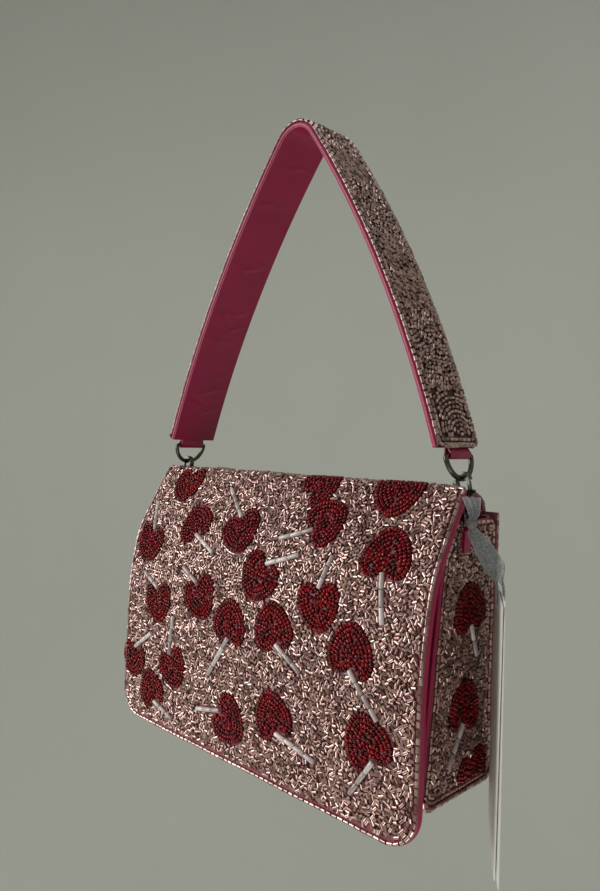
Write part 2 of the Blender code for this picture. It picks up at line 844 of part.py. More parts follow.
def make_gussets(bag, finishes):
    """The two sides, with a lining inside each and piping at the front seam."""
    skin = BEADED_CLOTH + GAP
    front_in = SATIN + GAP + FRONT_BOARD + GAP + LINING + GAP
    back_in = skin + BACK_BOARD + GAP + LINING + GAP
    base_in = skin + BASE_BOARD + GAP + LINING + GAP
    line = front_line()
    for side, label in ((-1, "left"), (1, "right")):
        out = X * side
        face = side_outline(SATIN + GAP, skin, skin, GUSSET_TOP_DROP)
        gusset = slab(face, BODY_SIDE - BEADED_CLOTH, out * BEADED_CLOTH)
        piece(f"{label}_gusset", gusset, finishes["beads"], bag)
        inside = side_outline(front_in, back_in, base_in, GUSSET_TOP_DROP)
        lining = slab(inside, BODY_SIDE - skin - LINING, out * LINING)
        piece(f"{label}_gusset_lining", lining, finishes["satin"], bag)
        seat = out * (BODY_SIDE - PIPING_RADIUS) - Y * PIPING_RADIUS
        seam = [line[-1] + seat + Z * PIPING_RADIUS, line[0] + seat]
        cord = tube(seam, PIPING_RADIUS, False, CORD_SIDES)
        piece(f"{label}_piping", cord, finishes["satin"], bag)


def make_boards(bag, finishes):
    """Flat stiffening boards in the back and the base, each with its lining."""
    skin = BEADED_CLOTH + GAP
    wide = X * BOARD_SIDE
    face_y = STRAP_TO_BACK - skin
    floor_z = -BODY_HEIGHT + skin
    low = Z * (floor_z + BOTTOM_ROUND)
    high = Z * (-SEAM_DROP - BEADED_CLOTH)
    near = Y * (front_y(floor_z) + BOTTOM_ROUND)
    far = Y * (face_y - BOTTOM_ROUND)
    back_in = base_in = 0
    for label, finish, back_thick, base_thick in (
        ("board", "board", BACK_BOARD, BASE_BOARD),
        ("lining", "satin", LINING, LINING),
    ):
        y, z = face_y - back_in, floor_z + base_in
        back = box(low + Y * (y - back_thick) - wide, high + Y * y + wide)
        piece(f"back_{label}", back, finishes[finish], bag)
        base = box(near + Z * z - wide, far + Z * (z + base_thick) + wide)
        piece(f"base_{label}", base, finishes[finish], bag)
        back_in += back_thick + GAP
        base_in += base_thick + GAP


def top_half():
    """Half the flap top's width behind the fold, which clears both hanging clasps."""
    nearest = []
    for hang in (Hanging(-1), Hanging(1)):
        for drop in (-hang.hole_top() - CLASP_WALL, hang.eye_drop()):
            nearest.append(abs(hang.at(drop).x))
    return min(nearest) - CLASP_WIDTH / 2 - TOP_TO_CLASP


def make_top(bag, finishes):
    """The part of the flap that stays on the bag, from the back seam to the fold."""
    line = top_line()
    lengths = lengths_along(line)
    total = lengths[-1]
    halves = []
    for at in lengths:
        from_fold = total - at - TOP_WIDE_RUN
        share = min(max(from_fold / TOP_TAPER_RUN, 0), 1)
        share = share * share * (3 - 2 * share)
        halves.append(FLAP_SIDE + (top_half() - FLAP_SIDE) * share)
    beads = band(line, halves, -BEADED_CLOTH, 0)
    piece("flap_top_beadwork", beads, finishes["beads"], bag)
    lining = BEADED_CLOTH + GAP + LINING
    narrow = [h - LINING for h in halves]
    under = band(line, narrow, -lining, -BEADED_CLOTH - GAP)
    piece("flap_top_lining", under, finishes["satin"], bag)


def flap_halves(line, edge, side):
    """Half widths along the flap's line, rounded in at its two lower corners."""
    total = length_of(line)
    radius = FLAP_CORNER - edge
    halves = []
    for at in lengths_along(line):
        into = max(at - (total - radius), 0)
        inward = radius - math.sqrt(max(radius**2 - into**2, 0))
        halves.append(side - inward)
    return halves


def fine_end(line, edge):
    """The line with close points where the corners are rounded."""
    total = length_of(line) - edge
    start = total - (FLAP_CORNER - edge)
    kept = [p for p, at in zip(line, lengths_along(line)) if at < start - GAP]
    turns = [math.pi / 2 * i / CORNER_STEPS for i in range(CORNER_STEPS + 1)]
    corner = [
        point_at(line, start + (FLAP_CORNER - edge) * math.sin(turn)) for turn in turns
    ]
    return [*kept, *corner]


def make_flap(flap, finishes):
    """The falling part of the flap, from the fold to its lower edge."""
    outer = smooth_line(flap_line()[FOLD_POINT:])
    outer[0] = point_at(outer, GAP)
    row = 2 * BEAD_ROW_RADIUS + GAP
    layers = (
        ("flap_beadwork", "beads", row, 0, BEADED_CLOTH),
        ("flap_board", "board", 0, BEADED_CLOTH + GAP, FLAP_BOARD),
        ("flap_lining", "satin", 0, FLAP_LAYERS - LINING, LINING),
    )
    made = {}
    for name, finish, edge, start, thickness in layers:
        line = fine_end(outer, edge)
        halves = flap_halves(line, edge, FLAP_SIDE - edge)
        halves[-1] = max(halves[-1], FLAP_SIDE - FLAP_CORNER)
        form = band(line, halves, -start - thickness, -start)
        made[name] = piece(name, form, finishes[finish], flap)

    # A row of beads set end to end round the flap's edge
    middle = offset_line(outer, X, -BEADED_CLOTH / 2)
    total = length_of(middle)
    inset = BEAD_ROW_RADIUS
    side = FLAP_SIDE - inset
    radius = FLAP_CORNER - inset
    straight = total - inset - radius
    right = [(side, straight * i / EDGE_STEPS) for i in range(EDGE_STEPS)]
    turns = [math.pi / 2 * i / CORNER_STEPS for i in range(CORNER_STEPS + 1)]
    right += [
        (side - radius + radius * math.cos(a), straight + radius * math.sin(a))
        for a in turns
    ]
    outline = right + [(-x, at) for x, at in reversed(right)]
    path = [point_at(middle, at) + X * x for x, at in outline]
    cord = tube(path, BEAD_ROW_RADIUS, False, BEAD_ROW_SIDES)
    piece("flap_edge_beads", cord, finishes["trim"], flap)

    return made["flap_board"], offset_line(outer, X, -FLAP_LAYERS)


def snap_seat(line):
    """Where a line in the YZ plane passes the snap, and the way out of its left side."""
    above, below = next(
        (a, b) for a, b in zip(line, line[1:]) if b.z <= -SNAP_DROP <= a.z
    )
    share = (-SNAP_DROP - above.z) / (below.z - above.z)
    return above.lerp(below, share), (below - above).normalized().cross(X)


def make_snap(flap, bag, flap_board, flap_inside, front_board, finishes):
    """The magnetic snap: a stud on the flap and a socket on the front panel."""
    flap_seat, flap_out = snap_seat(flap_inside)
    start = flap_seat + Y * SOCKET_SEAT
    plate_end = start + Y * STUD_PLATE
    plate = rod(start, plate_end, SNAP_RADIUS, ROUND_STEPS)
    stud = piece("snap_stud", plate, finishes["metal"], flap)
    boss_end = plate_end + Y * STUD_BOSS_HEIGHT
    boss = rod(start, boss_end, STUD_BOSS_RADIUS)
    combine(stud, "snap_stud_boss", boss, flap, "UNION")

    line = front_line()
    bulged = [
        point + normal * swell(0, i / FRONT_ROWS)
        for i, (point, normal) in enumerate(zip(line, normals_of(line, X)))
    ]
    panel_seat, panel_out = snap_seat(bulged)
    socket_front = plate_end + Y * GAP
    cup = rod(socket_front, panel_seat - Y * SOCKET_SEAT, SNAP_RADIUS, ROUND_STEPS)
    socket = piece("snap_socket", cup, finishes["metal"], bag)
    well_mouth = socket_front - Y * OVERRUN
    well = rod(well_mouth, boss_end + Y * GAP, STUD_BOSS_RADIUS + GAP)
    combine(socket, "socket_well", well, bag)

    # Washers that clench each half sit in holes in the two boards
    for name, holder, body, seat, away, skin, thickness in (
        ("snap_stud_washer", flap_board, flap, flap_seat, flap_out, LINING, FLAP_BOARD),
        ("snap_socket_washer", front_board, bag, panel_seat, -panel_out, SATIN, FRONT_BOARD),
    ):
        near = seat + away * (skin + GAP)
        far = near + away * thickness
        reach = away * (thickness + GAP)
        hole = rod(near - reach, far + reach, WASHER_RADIUS + GAP, ROUND_STEPS)
        combine(holder, f"{name}_hole", hole, body)
        washer = rod(near, far, WASHER_RADIUS, ROUND_STEPS)
        piece(name, washer, finishes["metal"], body)


def make_tags(hang, tags, front, back, bag, finishes):
    """A ribbon knotted at the right side ring, with two blank cards on it."""
    knot = tag_knot(hang)
    out = tag_out()
    across = tag_across()
    ball = bmesh.new()
    bmesh.ops.create_uvsphere(
        ball, u_segments=KNOT_COLUMNS, v_segments=KNOT_ROWS, radius=KNOT_RADIUS
    )
    ball.transform(Matrix.Translation(knot))
    piece("ribbon_knot", ball, finishes["ribbon"], bag)

    stack = CARD_THICKNESS + GAP / 2
    strand = stack + GAP + RIBBON_CLOTH / 2
    low = knot + out * RIBBON_REACH - Z * RIBBON_FALL
    middle = [
        knot + out * RIBBON_REACH * reach - Z * RIBBON_FALL * fall
        for reach, fall in RIBBON_LINE_SHARES
    ]
    middle[0] = knot - Z * (KNOT_RADIUS + GAP)
    middle.append(low + Z * strand)
    spreads = [RIBBON_TOP_SPREAD, *[strand] * len(RIBBON_LINE_SHARES)]
    down = [point + out * spread for point, spread in zip(middle, spreads)]
    up = [point - out * spread for point, spread in zip(middle, spreads)]
    turn = arc(middle[-1], strand, 0, math.pi, SMALL_ROUND_STEPS // 2, out, -Z)
    line = [*smooth_line(down), *turn[1:-1], *smooth_line(up[::-1])]
    widths = []
    for point in line:
        fall = (knot.z - point.z) / RIBBON_FALL
        opening = math.sin(math.pi * min(fall, 1))
        widths.append((RIBBON_NARROW + (RIBBON_WIDTH - RIBBON_NARROW) * opening) / 2)
    strip = band(line, widths, -RIBBON_CLOTH / 2, RIBBON_CLOTH / 2, across)
    piece("ribbon", strip, finishes["ribbon"], tags)

    hole_z = low - Z * (CARD_HOLE_RADIUS - RIBBON_SEAT)
    for label, body, way, turn in (
        ("front_card", front, 1, -CARD_FAN),
        ("back_card", back, -1, CARD_FAN),
    ):
        face = GAP / 2 if way > 0 else -GAP / 2 - CARD_THICKNESS
        rise, half = Z * CARD_HOLE_INSET, across * CARD_WIDTH / 2
        fall = Z * (CARD_LENGTH - CARD_HOLE_INSET)
        outline = [
            hole_z + rise + half,
            hole_z + rise - half,
            hole_z - fall - half,
            hole_z - fall + half,
        ]
        sheet = slab(outline, face, out * CARD_THICKNESS)
        spin = Matrix.Rotation(turn, 4, out)
        move = Matrix.Translation(hole_z) @ spin @ Matrix.Translation(-hole_z)
        sheet.transform(move)
        card = piece(label, sheet, finishes["card"], body)
        reach = out * (CARD_THICKNESS + OVERRUN)
        hole = rod(hole_z - reach, hole_z + reach, CARD_HOLE_RADIUS)
        combine(card, f"{label}_hole", hole, body)


def tag_across():
    """The direction of the cards' width."""
    return Vector((-math.sin(CARD_TURN), math.cos(CARD_TURN), 0))


def tag_out():
    return tag_across().cross(Z)


def tag_knot(hang):
    """The knot lies against the front side of the right side ring."""
    ring_side = hang.side_bar - hang.down * SIDE_RING_ARC_RISE
    ring_side = ring_side - Y * SIDE_RING_HALF_WIDTH
    return ring_side + hang.outward * (SIDE_RING_WIRE + GAP + KNOT_RADIUS)


def card_pivot(hang):
    drop = RIBBON_FALL + CARD_HOLE_RADIUS - RIBBON_SEAT
    return tag_knot(hang) + tag_out() * RIBBON_REACH - Z * drop


def make_all():
    clear_scene()
    finishes = {
        "beads": finish_material("rose_bead_cloth", (0.72, 0.55, 0.53), 0.35),
        "trim": finish_material("edge_bead_row", (0.86, 0.74, 0.72), 0.25),
        "satin": finish_material("magenta_satin", (0.45, 0.11, 0.22), 0.45),
        "board": finish_material("grey_board", (0.62, 0.60, 0.56), 0.9),
        "metal": finish_material("dark_nickel", (0.50, 0.49, 0.46), 0.28, 1.0),
        "ribbon": finish_material("grey_organza", (0.62, 0.65, 0.68), 0.5),
        "card": finish_material("ivory_card", (0.90, 0.89, 0.86), 0.8),
    }
    sides = {"left": Hanging(-1), "right": Hanging(1)}
    strap = frame("hook_seat", PLACE_UNDER_HOOK)
    strap["in_bag"] = [v for row in Matrix.Identity(4) for v in row]
    heights = [(hang.bar + hang.down * RING_ARC_DROP).z for hang in sides.values()]
    swing_z = sum(heights) / len(heights)
    bag = frame("bag_swing_axis", Vector((0, 0, swing_z)), None, strap)
    fold = top_line()[-1]
    flap = frame("flap_fold_axis", fold, None, bag)

    make_strap(strap, finishes)
    make_base_and_back(bag, finishes)
    make_gussets(bag, finishes)
    make_boards(bag, finishes)
    front_board = make_front(bag, finishes)
    make_top(bag, finishes)
    flap_board, flap_inside = make_flap(flap, finishes)
    make_snap(flap, bag, flap_board, flap_inside, front_board, finishes)
    for label, hang in sides.items():
        upright = Matrix.Rotation(-hang.side * hang.tilt, 4, "Y")
        clasp = frame(f"{label}_swivel_axis", hang.wire, upright, bag)
        trigger = frame(f"{label}_lever_axis", lever_pivot(hang), upright, clasp)
        make_strap_end(label, hang, strap, finishes)
        make_clasp(label, hang, clasp, trigger, finishes)
        make_swivel_eye(label, hang, bag, finishes)
        make_side_ring(label, hang, bag, finishes)
    right = sides["right"]
    tags = frame("tag_swing_axis", tag_knot(right), None, bag)
    front = frame("front_card_axis", card_pivot(right), None, tags)
    back = frame("back_card_axis", card_pivot(right), None, tags)
    make_tags(right, tags, front, back, bag, finishes)


make_all()
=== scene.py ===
"""The beaded shoulder bag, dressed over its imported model.

Lengths are in millimetres, in the bag's own coordinates, until a mesh is made: X to the
bag's right seen from its front, Y to its back and Z up, with Z zero at the crest of the
flap. A face of the bag is a line swept sideways, so a place on it is given by how far it
lies across and how far along the line.
"""

import math

import bpy
import numpy as np
from mathutils import Matrix, Vector


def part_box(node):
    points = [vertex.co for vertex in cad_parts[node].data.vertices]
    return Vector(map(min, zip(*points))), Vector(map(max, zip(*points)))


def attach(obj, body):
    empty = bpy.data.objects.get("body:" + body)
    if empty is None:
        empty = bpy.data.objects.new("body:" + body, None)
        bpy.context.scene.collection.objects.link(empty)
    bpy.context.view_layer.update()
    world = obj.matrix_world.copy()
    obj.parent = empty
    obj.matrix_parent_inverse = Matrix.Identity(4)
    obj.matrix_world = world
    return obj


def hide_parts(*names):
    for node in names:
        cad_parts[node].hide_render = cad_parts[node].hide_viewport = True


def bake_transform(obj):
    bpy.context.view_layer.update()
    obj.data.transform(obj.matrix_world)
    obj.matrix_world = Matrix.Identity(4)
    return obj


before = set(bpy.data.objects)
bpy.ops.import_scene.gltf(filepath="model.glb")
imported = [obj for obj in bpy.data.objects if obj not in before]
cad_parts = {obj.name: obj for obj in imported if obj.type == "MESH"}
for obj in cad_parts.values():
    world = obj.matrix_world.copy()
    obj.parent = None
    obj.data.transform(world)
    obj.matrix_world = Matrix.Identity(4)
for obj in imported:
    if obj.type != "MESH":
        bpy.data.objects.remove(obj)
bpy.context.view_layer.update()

MM = 0.001
# Where the bag hangs under the seat of its strap
HUNG = np.array([-5.0, 0.0, -169.5])
X, Y, Z = np.eye(3)

# Outside sizes
BODY_SIDE = 96.5
FLAP_SIDE = 101.5
TOP_SIDE = 89.4
BACK_Y = 28.5
BASE_Z = -130.0
MOUTH_Z = -30.0
LIP_Y = -12.5
FOOT_Y = -24.25
BOTTOM_ROUND = 6.0
FLAP_CORNER = 15.0
SEAM_Z = -12.7
GUSSET_TOP_Z = -15.0

# Heights on the sides, measured down from the crest: top, mouth, bend of the base, foot
SIDE_TOP, SIDE_MOUTH, SIDE_BEND = -GUSSET_TOP_Z, -MOUTH_Z, -BASE_Z - BOTTOM_ROUND
SIDE_FOOT = -BASE_Z - 2.3

# Depths under the outer face: the satin ground, and where the flap's lining starts
GROUND_TOP = 1.05
GROUND_FOOT = 2.2
TOP_LINING, FLAP_LINING, LINING_THICK = 2.5, 3.6, 0.55

# Glass: cut tubes, seed beads in the hearts, bugles for the sticks and tubes for edge rows
TUBE_LENGTH, TUBE_WIDTH = 2.4, 1.5
TUBE_SPACING = 2.14
TUBE_DEPTH = 0.65
SEED_WIDTH, SEED_LENGTH = 2.1, 1.65
SEED_DEPTH = 0.5
STICK_DEPTH = 0.3
BUGLE_LENGTH, BUGLE_WIDTH = 6.2, 2.3
EDGE_LENGTH, EDGE_WIDTH = 2.8, 1.7
EDGE_PITCH = 3.2
ROW_DEPTH = 0.75
SIDE_ROW_TUBE = (2.9, 1.6)
# The thread leaves this gap at each end of a bugle
BUGLE_GAP = 0.12
# Tubes of the strap, their pitch in the arcs at its ends and how far those arcs reach
STRAP_TUBE = (2.5, 1.55)
STRAP_TUBE_PITCH, STRAP_ROW_PITCH, STRAP_SPACING = 2.95, 2.05, 2.38
ARC_REACH, ARC_END = 34.0, 24.0
# How far beads lean out of the cloth at random, in radians
TUBE_TILT, SEED_TILT, STRAP_TILT, ROW_TILT = 0.26, 0.12, 0.1, 0.06
# The most beads in one piece, so that the export keeps all their facets
MOST_BEADS = 1200

# The flap's outer face from its crest to its lower edge, and from the back to the crest
FLAP_LINE = [
    (-7.25, 0.0), (-9.03, -1.26), (-11.27, -4.19), (-15.88, -12.0), (-21.59, -22.04),
    (-28.07, -34.04), (-32.24, -49.94), (-34.92, -71.98), (-35.96, -100.02),
    (-37.0, -139.5),
]
TOP_LINE = [
    (28.5, -12.0), (27.78, -9.0), (24.93, -6.0), (17.78, -3.36), (5.26, -1.2),
    (-2.96, -0.12), (-7.25, 0.0),
]

# Hearts, one by one: across, along, where the tip points (0 is down, 90 to the
# right) and size, then where the stick points from the notch, its length and its bend
FLAP_HEARTS = [
    (-75.0, 5.5, 5, 1.0, 0, 0, 0),
    (-87.5, 42.8, -12, 0.98, 203, 19, 3),
    (-52.5, 27.8, 208, 0.98, 63, 19, 2),
    (-16.0, 28.3, 27, 1.05, 231, 23, -3),
    (25.0, -1.0, 135, 1.0, 0, 0, 0),
    (37.0, 17.3, 130, 1.02, 289, 20, 2),
    (-72.0, 73.8, 12, 0.98, 241, 16, 2),
    (-36.5, 65.3, 28, 1.02, 242, 15, 2),
    (5.0, 48.8, -28, 1.06, 113, 21, -4),
    (-11.5, 73.3, 175, 1.0, 326, 26, 1),
    (18.5, 69.8, 198, 1.05, 59, 19, 2),
    (45.0, 55.3, 10, 1.02, 162, 16, 1),
    (-92.5, 109.0, -5, 0.9, 122, 19, 2),
    (-56.0, 105.8, 30, 0.95, 176, 21, -1),
    (-74.5, 121.5, 205, 0.92, 71, 18, 3),
    (-9.0, 120.3, 66, 1.02, 281, 19, 1),
    (21.5, 109.3, 200, 1.02, 74, 25, 5),
    (70.0, -0.5, -3, 1.1, 0, 0, 0),
    (76.0, 28.3, 182, 1.08, 15, 21, -4),
    (65.5, 70.3, 178, 1.06, 41, 23, 3),
    (76.0, 104.3, 210, 1.04, 324, 20, 2),
]
TOP_HEARTS = [
    (-48.0, -26.0, 150, 1.0, 320, 15, 2),
    (-2.0, -27.0, 80, 1.0, 265, 17, -2),
    (50.0, -25.0, 200, 1.0, 30, 14, 3),
]
BACK_HEARTS = [
    (-70.0, 22.0, 30, 1.0, 205, 18, 3),
    (-28.0, 30.0, 210, 1.0, 40, 18, -3),
    (14.0, 18.0, -60, 1.0, 110, 17, 3),
    (58.0, 27.0, 130, 1.0, 300, 19, 2),
    (-58.0, 62.0, -35, 1.0, 150, 20, 3),
    (-14.0, 66.0, 65, 1.0, 250, 18, -2),
    (34.0, 60.0, 190, 1.0, 15, 16, 3),
    (76.0, 70.0, -25, 1.0, 165, 17, 2),
    (-76.0, 97.0, 120, 1.0, 290, 15, 2),
    (-34.0, 97.0, 20, 0.95, 0, 0, 0),
    (10.0, 96.0, 245, 1.0, 70, 18, 3),
    (52.0, 97.0, 95, 1.0, 280, 18, 2),
]
BASE_HEARTS = [
    (-62.0, 33.0, 80, 1.0, 265, 19, 3),
    (4.0, 31.0, 200, 1.0, 25, 13, 2),
    (58.0, 34.0, -70, 1.0, 115, 19, 2),
]
# Hearts on each side: to the back, below the crest, and the rest as above
SIDE_HEARTS = [
    (8.5, -52.5, 190, 0.98, 15, 15, 2),
    (6.0, -93.5, 172, 0.98, 318, 20, 2),
    (12.0, -123.0, 15, 0.95, 0, 0, 0),
]


def rng_for(name):
    """A seeded source of random numbers, one for each piece."""
    return np.random.default_rng(sum(ord(c) * (i + 7) for i, c in enumerate(name)))


def in_metres(points):
    return (np.asarray(points, float) + HUNG) * MM


def unit(vectors):
    length = np.linalg.norm(vectors, axis=-1, keepdims=True)
    return vectors / np.maximum(length, 1e-12)


def smooth_step(value, start, end):
    share = np.clip((np.asarray(value, float) - start) / (end - start), 0, 1)
    return share * share * (3 - 2 * share)


def smooth_line(points, steps=8):
    """A smooth line through points, with the same steps in each span."""
    points = np.asarray(points, float)
    ends = np.vstack([2 * points[0] - points[1], points, 2 * points[-1] - points[-2]])
    line = []
    for before, start, end, after in zip(ends, ends[1:], ends[2:], ends[3:]):
        for t in np.arange(steps) / steps:
            b, c = end - before, 2 * before - 5 * start + 4 * end - after
            d = 3 * start - before - 3 * end + after
            line.append((2 * start + b * t + c * t**2 + d * t**3) / 2)
    return np.vstack([line, points[-1]])


def in_side_plane(points):
    """Points (y, z) as places in the middle plane of the bag."""
    points = np.asarray(points, float)
    return np.column_stack([np.zeros(len(points)), points])


def distances(line):
    """How far along the line each of its points lies."""
    return np.concatenate([[0], np.cumsum(np.linalg.norm(np.diff(line, axis=0), axis=1))])


def resample(line, pitch, closed=False):
    """Places at an even pitch along a line."""
    line = np.asarray(line, float)
    if closed:
        line = np.vstack([line, line[:1]])
    at = distances(line)
    count = max(int(round(at[-1] / pitch)), 1)
    where = np.arange(count + (not closed)) * at[-1] / count
    return np.column_stack([np.interp(where, at, line[:, k]) for k in range(line.shape[1])])


def turn_of(line, closed=False):
    """The unit direction of a line at each of its points."""
    if closed:
        return unit(np.roll(line, -1, 0) - np.roll(line, 1, 0))
    return unit(np.gradient(line, axis=0))


class Face:
    """A face of the bag: a line swept along a direction, with a soft swell on it."""

    def __init__(self, line, across, start=0.0, swell=None):
        self.line = np.asarray(line, float)
        self.across = np.asarray(across, float)
        self.at = distances(self.line) + start
        self.start, self.end = self.at[0], self.at[-1]
        self.turn = turn_of(self.line)
        self.swell = swell or (lambda u, v: 0.0 * u)

    def along(self, v):
        return unit(self.read(self.turn, v))

    def out(self, v):
        return unit(np.cross(self.along(v), self.across))

    def read(self, values, v):
        return np.column_stack([np.interp(v, self.at, values[:, k]) for k in range(3)])

    def place(self, u, v, depth=0.0):
        """The place at u across and v along, at a depth under the outer face."""
        u, v = np.broadcast_arrays(np.asarray(u, float), np.asarray(v, float))
        lift = self.swell(u, v) - depth
        flat = self.read(self.line, v.ravel()) + u.ravel()[:, None] * self.across
        return flat + self.out(v.ravel()) * np.broadcast_to(lift, u.shape).ravel()[:, None]


def waves(u, v, size, height, seed):
    """Soft unevenness of handwork: a few slow waves laid over each other."""
    rng = np.random.default_rng(seed)
    total = 0.0 * u
    for _ in range(7):
        angle, phase = rng.uniform(0, 2 * math.pi, 2)
        stretch = size * rng.uniform(0.6, 1.6)
        total = total + np.sin((u * math.cos(angle) + v * math.sin(angle)) / stretch + phase)
    return total * height / 3


# The flap's outer face, with its zero where the top meets the fall
top_part = smooth_line(in_side_plane([*TOP_LINE, *FLAP_LINE[1:3]]))
fall_part = smooth_line(in_side_plane(FLAP_LINE[2:]))
TOP_RUN = distances(top_part)[-1]
FLAP = Face(
    np.vstack([top_part, fall_part[1:]]), X, -TOP_RUN, lambda u, v: waves(u, v, 9, 0.22, 5)
)
FALL_RUN = FLAP.end
# The cloth bends over this far on each side of the fold
FOLD_REACH = 4.0
# Where the flap's round corners start, where its top starts at the back seam, and the
# step from the top's end out to the fall
CORNER_START = FALL_RUN - FLAP_CORNER
TOP_START = -TOP_RUN + 0.6
TOP_STEP = [(TOP_SIDE + 0.9, -8.0), (TOP_SIDE + 5.6, -6.5), (TOP_SIDE + 10.0, -5.5)]


def quarter(centre, radius, start, end, steps=10):
    turns = np.linspace(start, end, steps)
    return np.array(centre) + radius * np.column_stack([np.cos(turns), np.sin(turns)])


# The base, the back, the front and the two sides
LOW_Z = BASE_Z + BOTTOM_ROUND
low_front = quarter((FOOT_Y + BOTTOM_ROUND, LOW_Z), BOTTOM_ROUND, math.pi, 1.5 * math.pi)
low_back = quarter((BACK_Y - BOTTOM_ROUND, LOW_Z), BOTTOM_ROUND, -math.pi / 2, 0)
back_line = in_side_plane([(BACK_Y, z) for z in np.linspace(LOW_Z, SEAM_Z, 12)])
BASE = Face(in_side_plane([*low_front, *low_back]), X, 0, lambda u, v: waves(u, v, 8, 0.15, 8))
BACK = Face(back_line, X, 0, lambda u, v: waves(u, v, 10, 0.22, 9))


def bulge(u, v):
    """The front bows out over its board, most in its middle."""
    across = np.cos(math.pi / 2 * np.clip(u / 94, -1, 1))
    up = np.sin(math.pi * np.clip(v / 94.3, 0, 1))
    return 6.2 * across * up + waves(u, v, 12, 0.12, 10)


FRONT = Face(in_side_plane([(LIP_Y, MOUTH_Z), (-24.5, LOW_Z + 0.7)]), X, 0, bulge)


def hollow(u, v):
    """The soft side is drawn in a little along its middle, more so near the mouth."""
    middle = np.clip(1 - ((u - 3) / 24) ** 2, 0, 1)
    down = np.sin(math.pi * np.clip((v - 2) / 112, 0, 1)) ** 0.7
    return -1.6 * middle * down + waves(u, v, 7, 0.14, 12)


SIDES = {}
for side, label in ((-1, "left"), (1, "right")):
    drop = [(side * BODY_SIDE, 0, z) for z in np.linspace(GUSSET_TOP_Z, BASE_Z, 30)]
    SIDES[label] = Face(drop, Y * side, -GUSSET_TOP_Z, hollow)

# The underside of the strap: two bowed legs and a tight bend, a little to the right
STRAP_RISE, STRAP_END, STRAP_HANG = 154.0, 89.8, 15.5
STRAP_BOW, BEND_RADIUS, BEND_X = math.radians(9), 12.0, 5.0


def strap_line():
    """From the left end over the bend to the right end; each leg is an arc."""
    bend = np.array([BEND_X, 0, STRAP_HANG + STRAP_RISE - BEND_RADIUS])
    legs, slopes = [], []
    for side in (-1, 1):
        end = np.array([side * STRAP_END, 0, STRAP_HANG])
        slope = math.atan2(STRAP_RISE, STRAP_END)
        for _ in range(30):
            leaves = bend + BEND_RADIUS * np.array([side * math.sin(slope), 0, math.cos(slope)])
            chord = leaves - end
            slope = math.atan2(chord[2], -side * chord[0]) - STRAP_BOW
        radius = np.linalg.norm(chord) / (2 * math.sin(STRAP_BOW))
        low = slope + 2 * STRAP_BOW
        centre = end - radius * np.array([side * math.sin(low), 0, math.cos(low)])
        turns = np.linspace(low, slope, 40)
        arc = np.column_stack([side * np.sin(turns), 0 * turns, np.cos(turns)])
        legs.append(centre + radius * arc)
        slopes.append(slope)
    turns = np.linspace(math.pi / 2 + slopes[0], math.pi / 2 - slopes[1], 24)[1:-1]
    over = bend + BEND_RADIUS * np.column_stack([np.cos(turns), 0 * turns, np.sin(turns)])
    return np.vstack([legs[0], over, legs[1][::-1]])


STRAP = Face(strap_line(), Y, 0)
STRAP_RUN = STRAP.end
STRAP_HALF = 15.0
STRAP_GROUND_TOP, STRAP_GROUND_FOOT = -2.95, -2.35
STRAP_TUBE_DEPTH = -3.35
# Creases of the strap's lining: along it, middle and reach across, height and slant
STRAP_CREASES = [
    (18, 4, 9, 0.9, 0.1), (24, -5, 7, 0.7, -0.2), (31, 3, 10, 1.0, 0.15), (38, 6, 6, 0.6, 0.3),
    (62, -3, 8, 0.9, -0.15), (68, 5, 7, 0.8, 0.35), (73, -6, 6, 1.0, -0.5), (79, 2, 8, 0.8, 0.2),
    (106, 0, 7, 1.0, 0.1), (111, 6, 5, 0.6, -0.3), (142, -4, 8, 0.7, 0.2), (163, 3, 9, 0.6, 0.1),
    (204, 2, 9, 0.7, -0.1), (236, -4, 8, 0.8, 0.25), (243, 4, 7, 0.6, -0.2), (280, 0, 9, 0.9, 0.1),
    (287, -5, 6, 0.7, 0.4), (322, 4, 8, 0.8, -0.25), (339, -2, 9, 0.9, 0.1), (346, 5, 6, 0.6, 0.3),
]

# Each side's front and back edge, and its lining's front: below the crest, to the back
SIDE_FRONT = [
    (SIDE_TOP, -1.5), (SIDE_MOUTH, LIP_Y + 1.1), (SIDE_BEND, FOOT_Y + 1.0),
    (SIDE_FOOT, FOOT_Y + 4.2),
]
SIDE_BACK = [(SIDE_TOP, 23.5), (17.5, 26.1), (SIDE_BEND - 1, 26.1), (SIDE_FOOT, 23.0)]
LINING_FRONT = [
    (SIDE_TOP, -1.5), (SIDE_MOUTH, LIP_Y + 3.6), (SIDE_BEND, FOOT_Y + 4.4),
    (-BASE_Z, FOOT_Y + 8),
]
# Half the width of the front panel, of its lining and of the binding along the mouth
PANEL_HALF, LINING_HALF, MOUTH_HALF = 93.8, 93.0, 93.4

# At each side: how far the clasp leans, where it hangs in the strap's ring, how far that
# is below the ring's bar, and the middle of the small ring's bar
TILT = {"left": 0.2288, "right": 0.2341}
WIRE = {"left": (-94.8, 0, 2.7), "right": (94.8, 0, 2.7)}
RING_DROP = 10.2
SIDE_BAR = {"left": (-99.2, 0, -16.3), "right": (99.2, 0, -16.3)}
# The two kinds of ring: half the width, the corner, half the wire and the wire's sides
STRAP_RING = (9.6, 1.5, 1.1, 18)
SIDE_RING = (4.2, 1.2, 0.7, 14)
# How far the middle of a ring's arc lies from its bar
ARC_DROP = 0.6
# A strap tab's section: shares of half its width, and out
TAB_SECTION = [
    (-1, -0.25), (-0.98, -0.28), (0.98, -0.28), (1, -0.25),
    (1, 0.25), (0.98, 0.28), (-0.98, 0.28), (-1, 0.25),
]

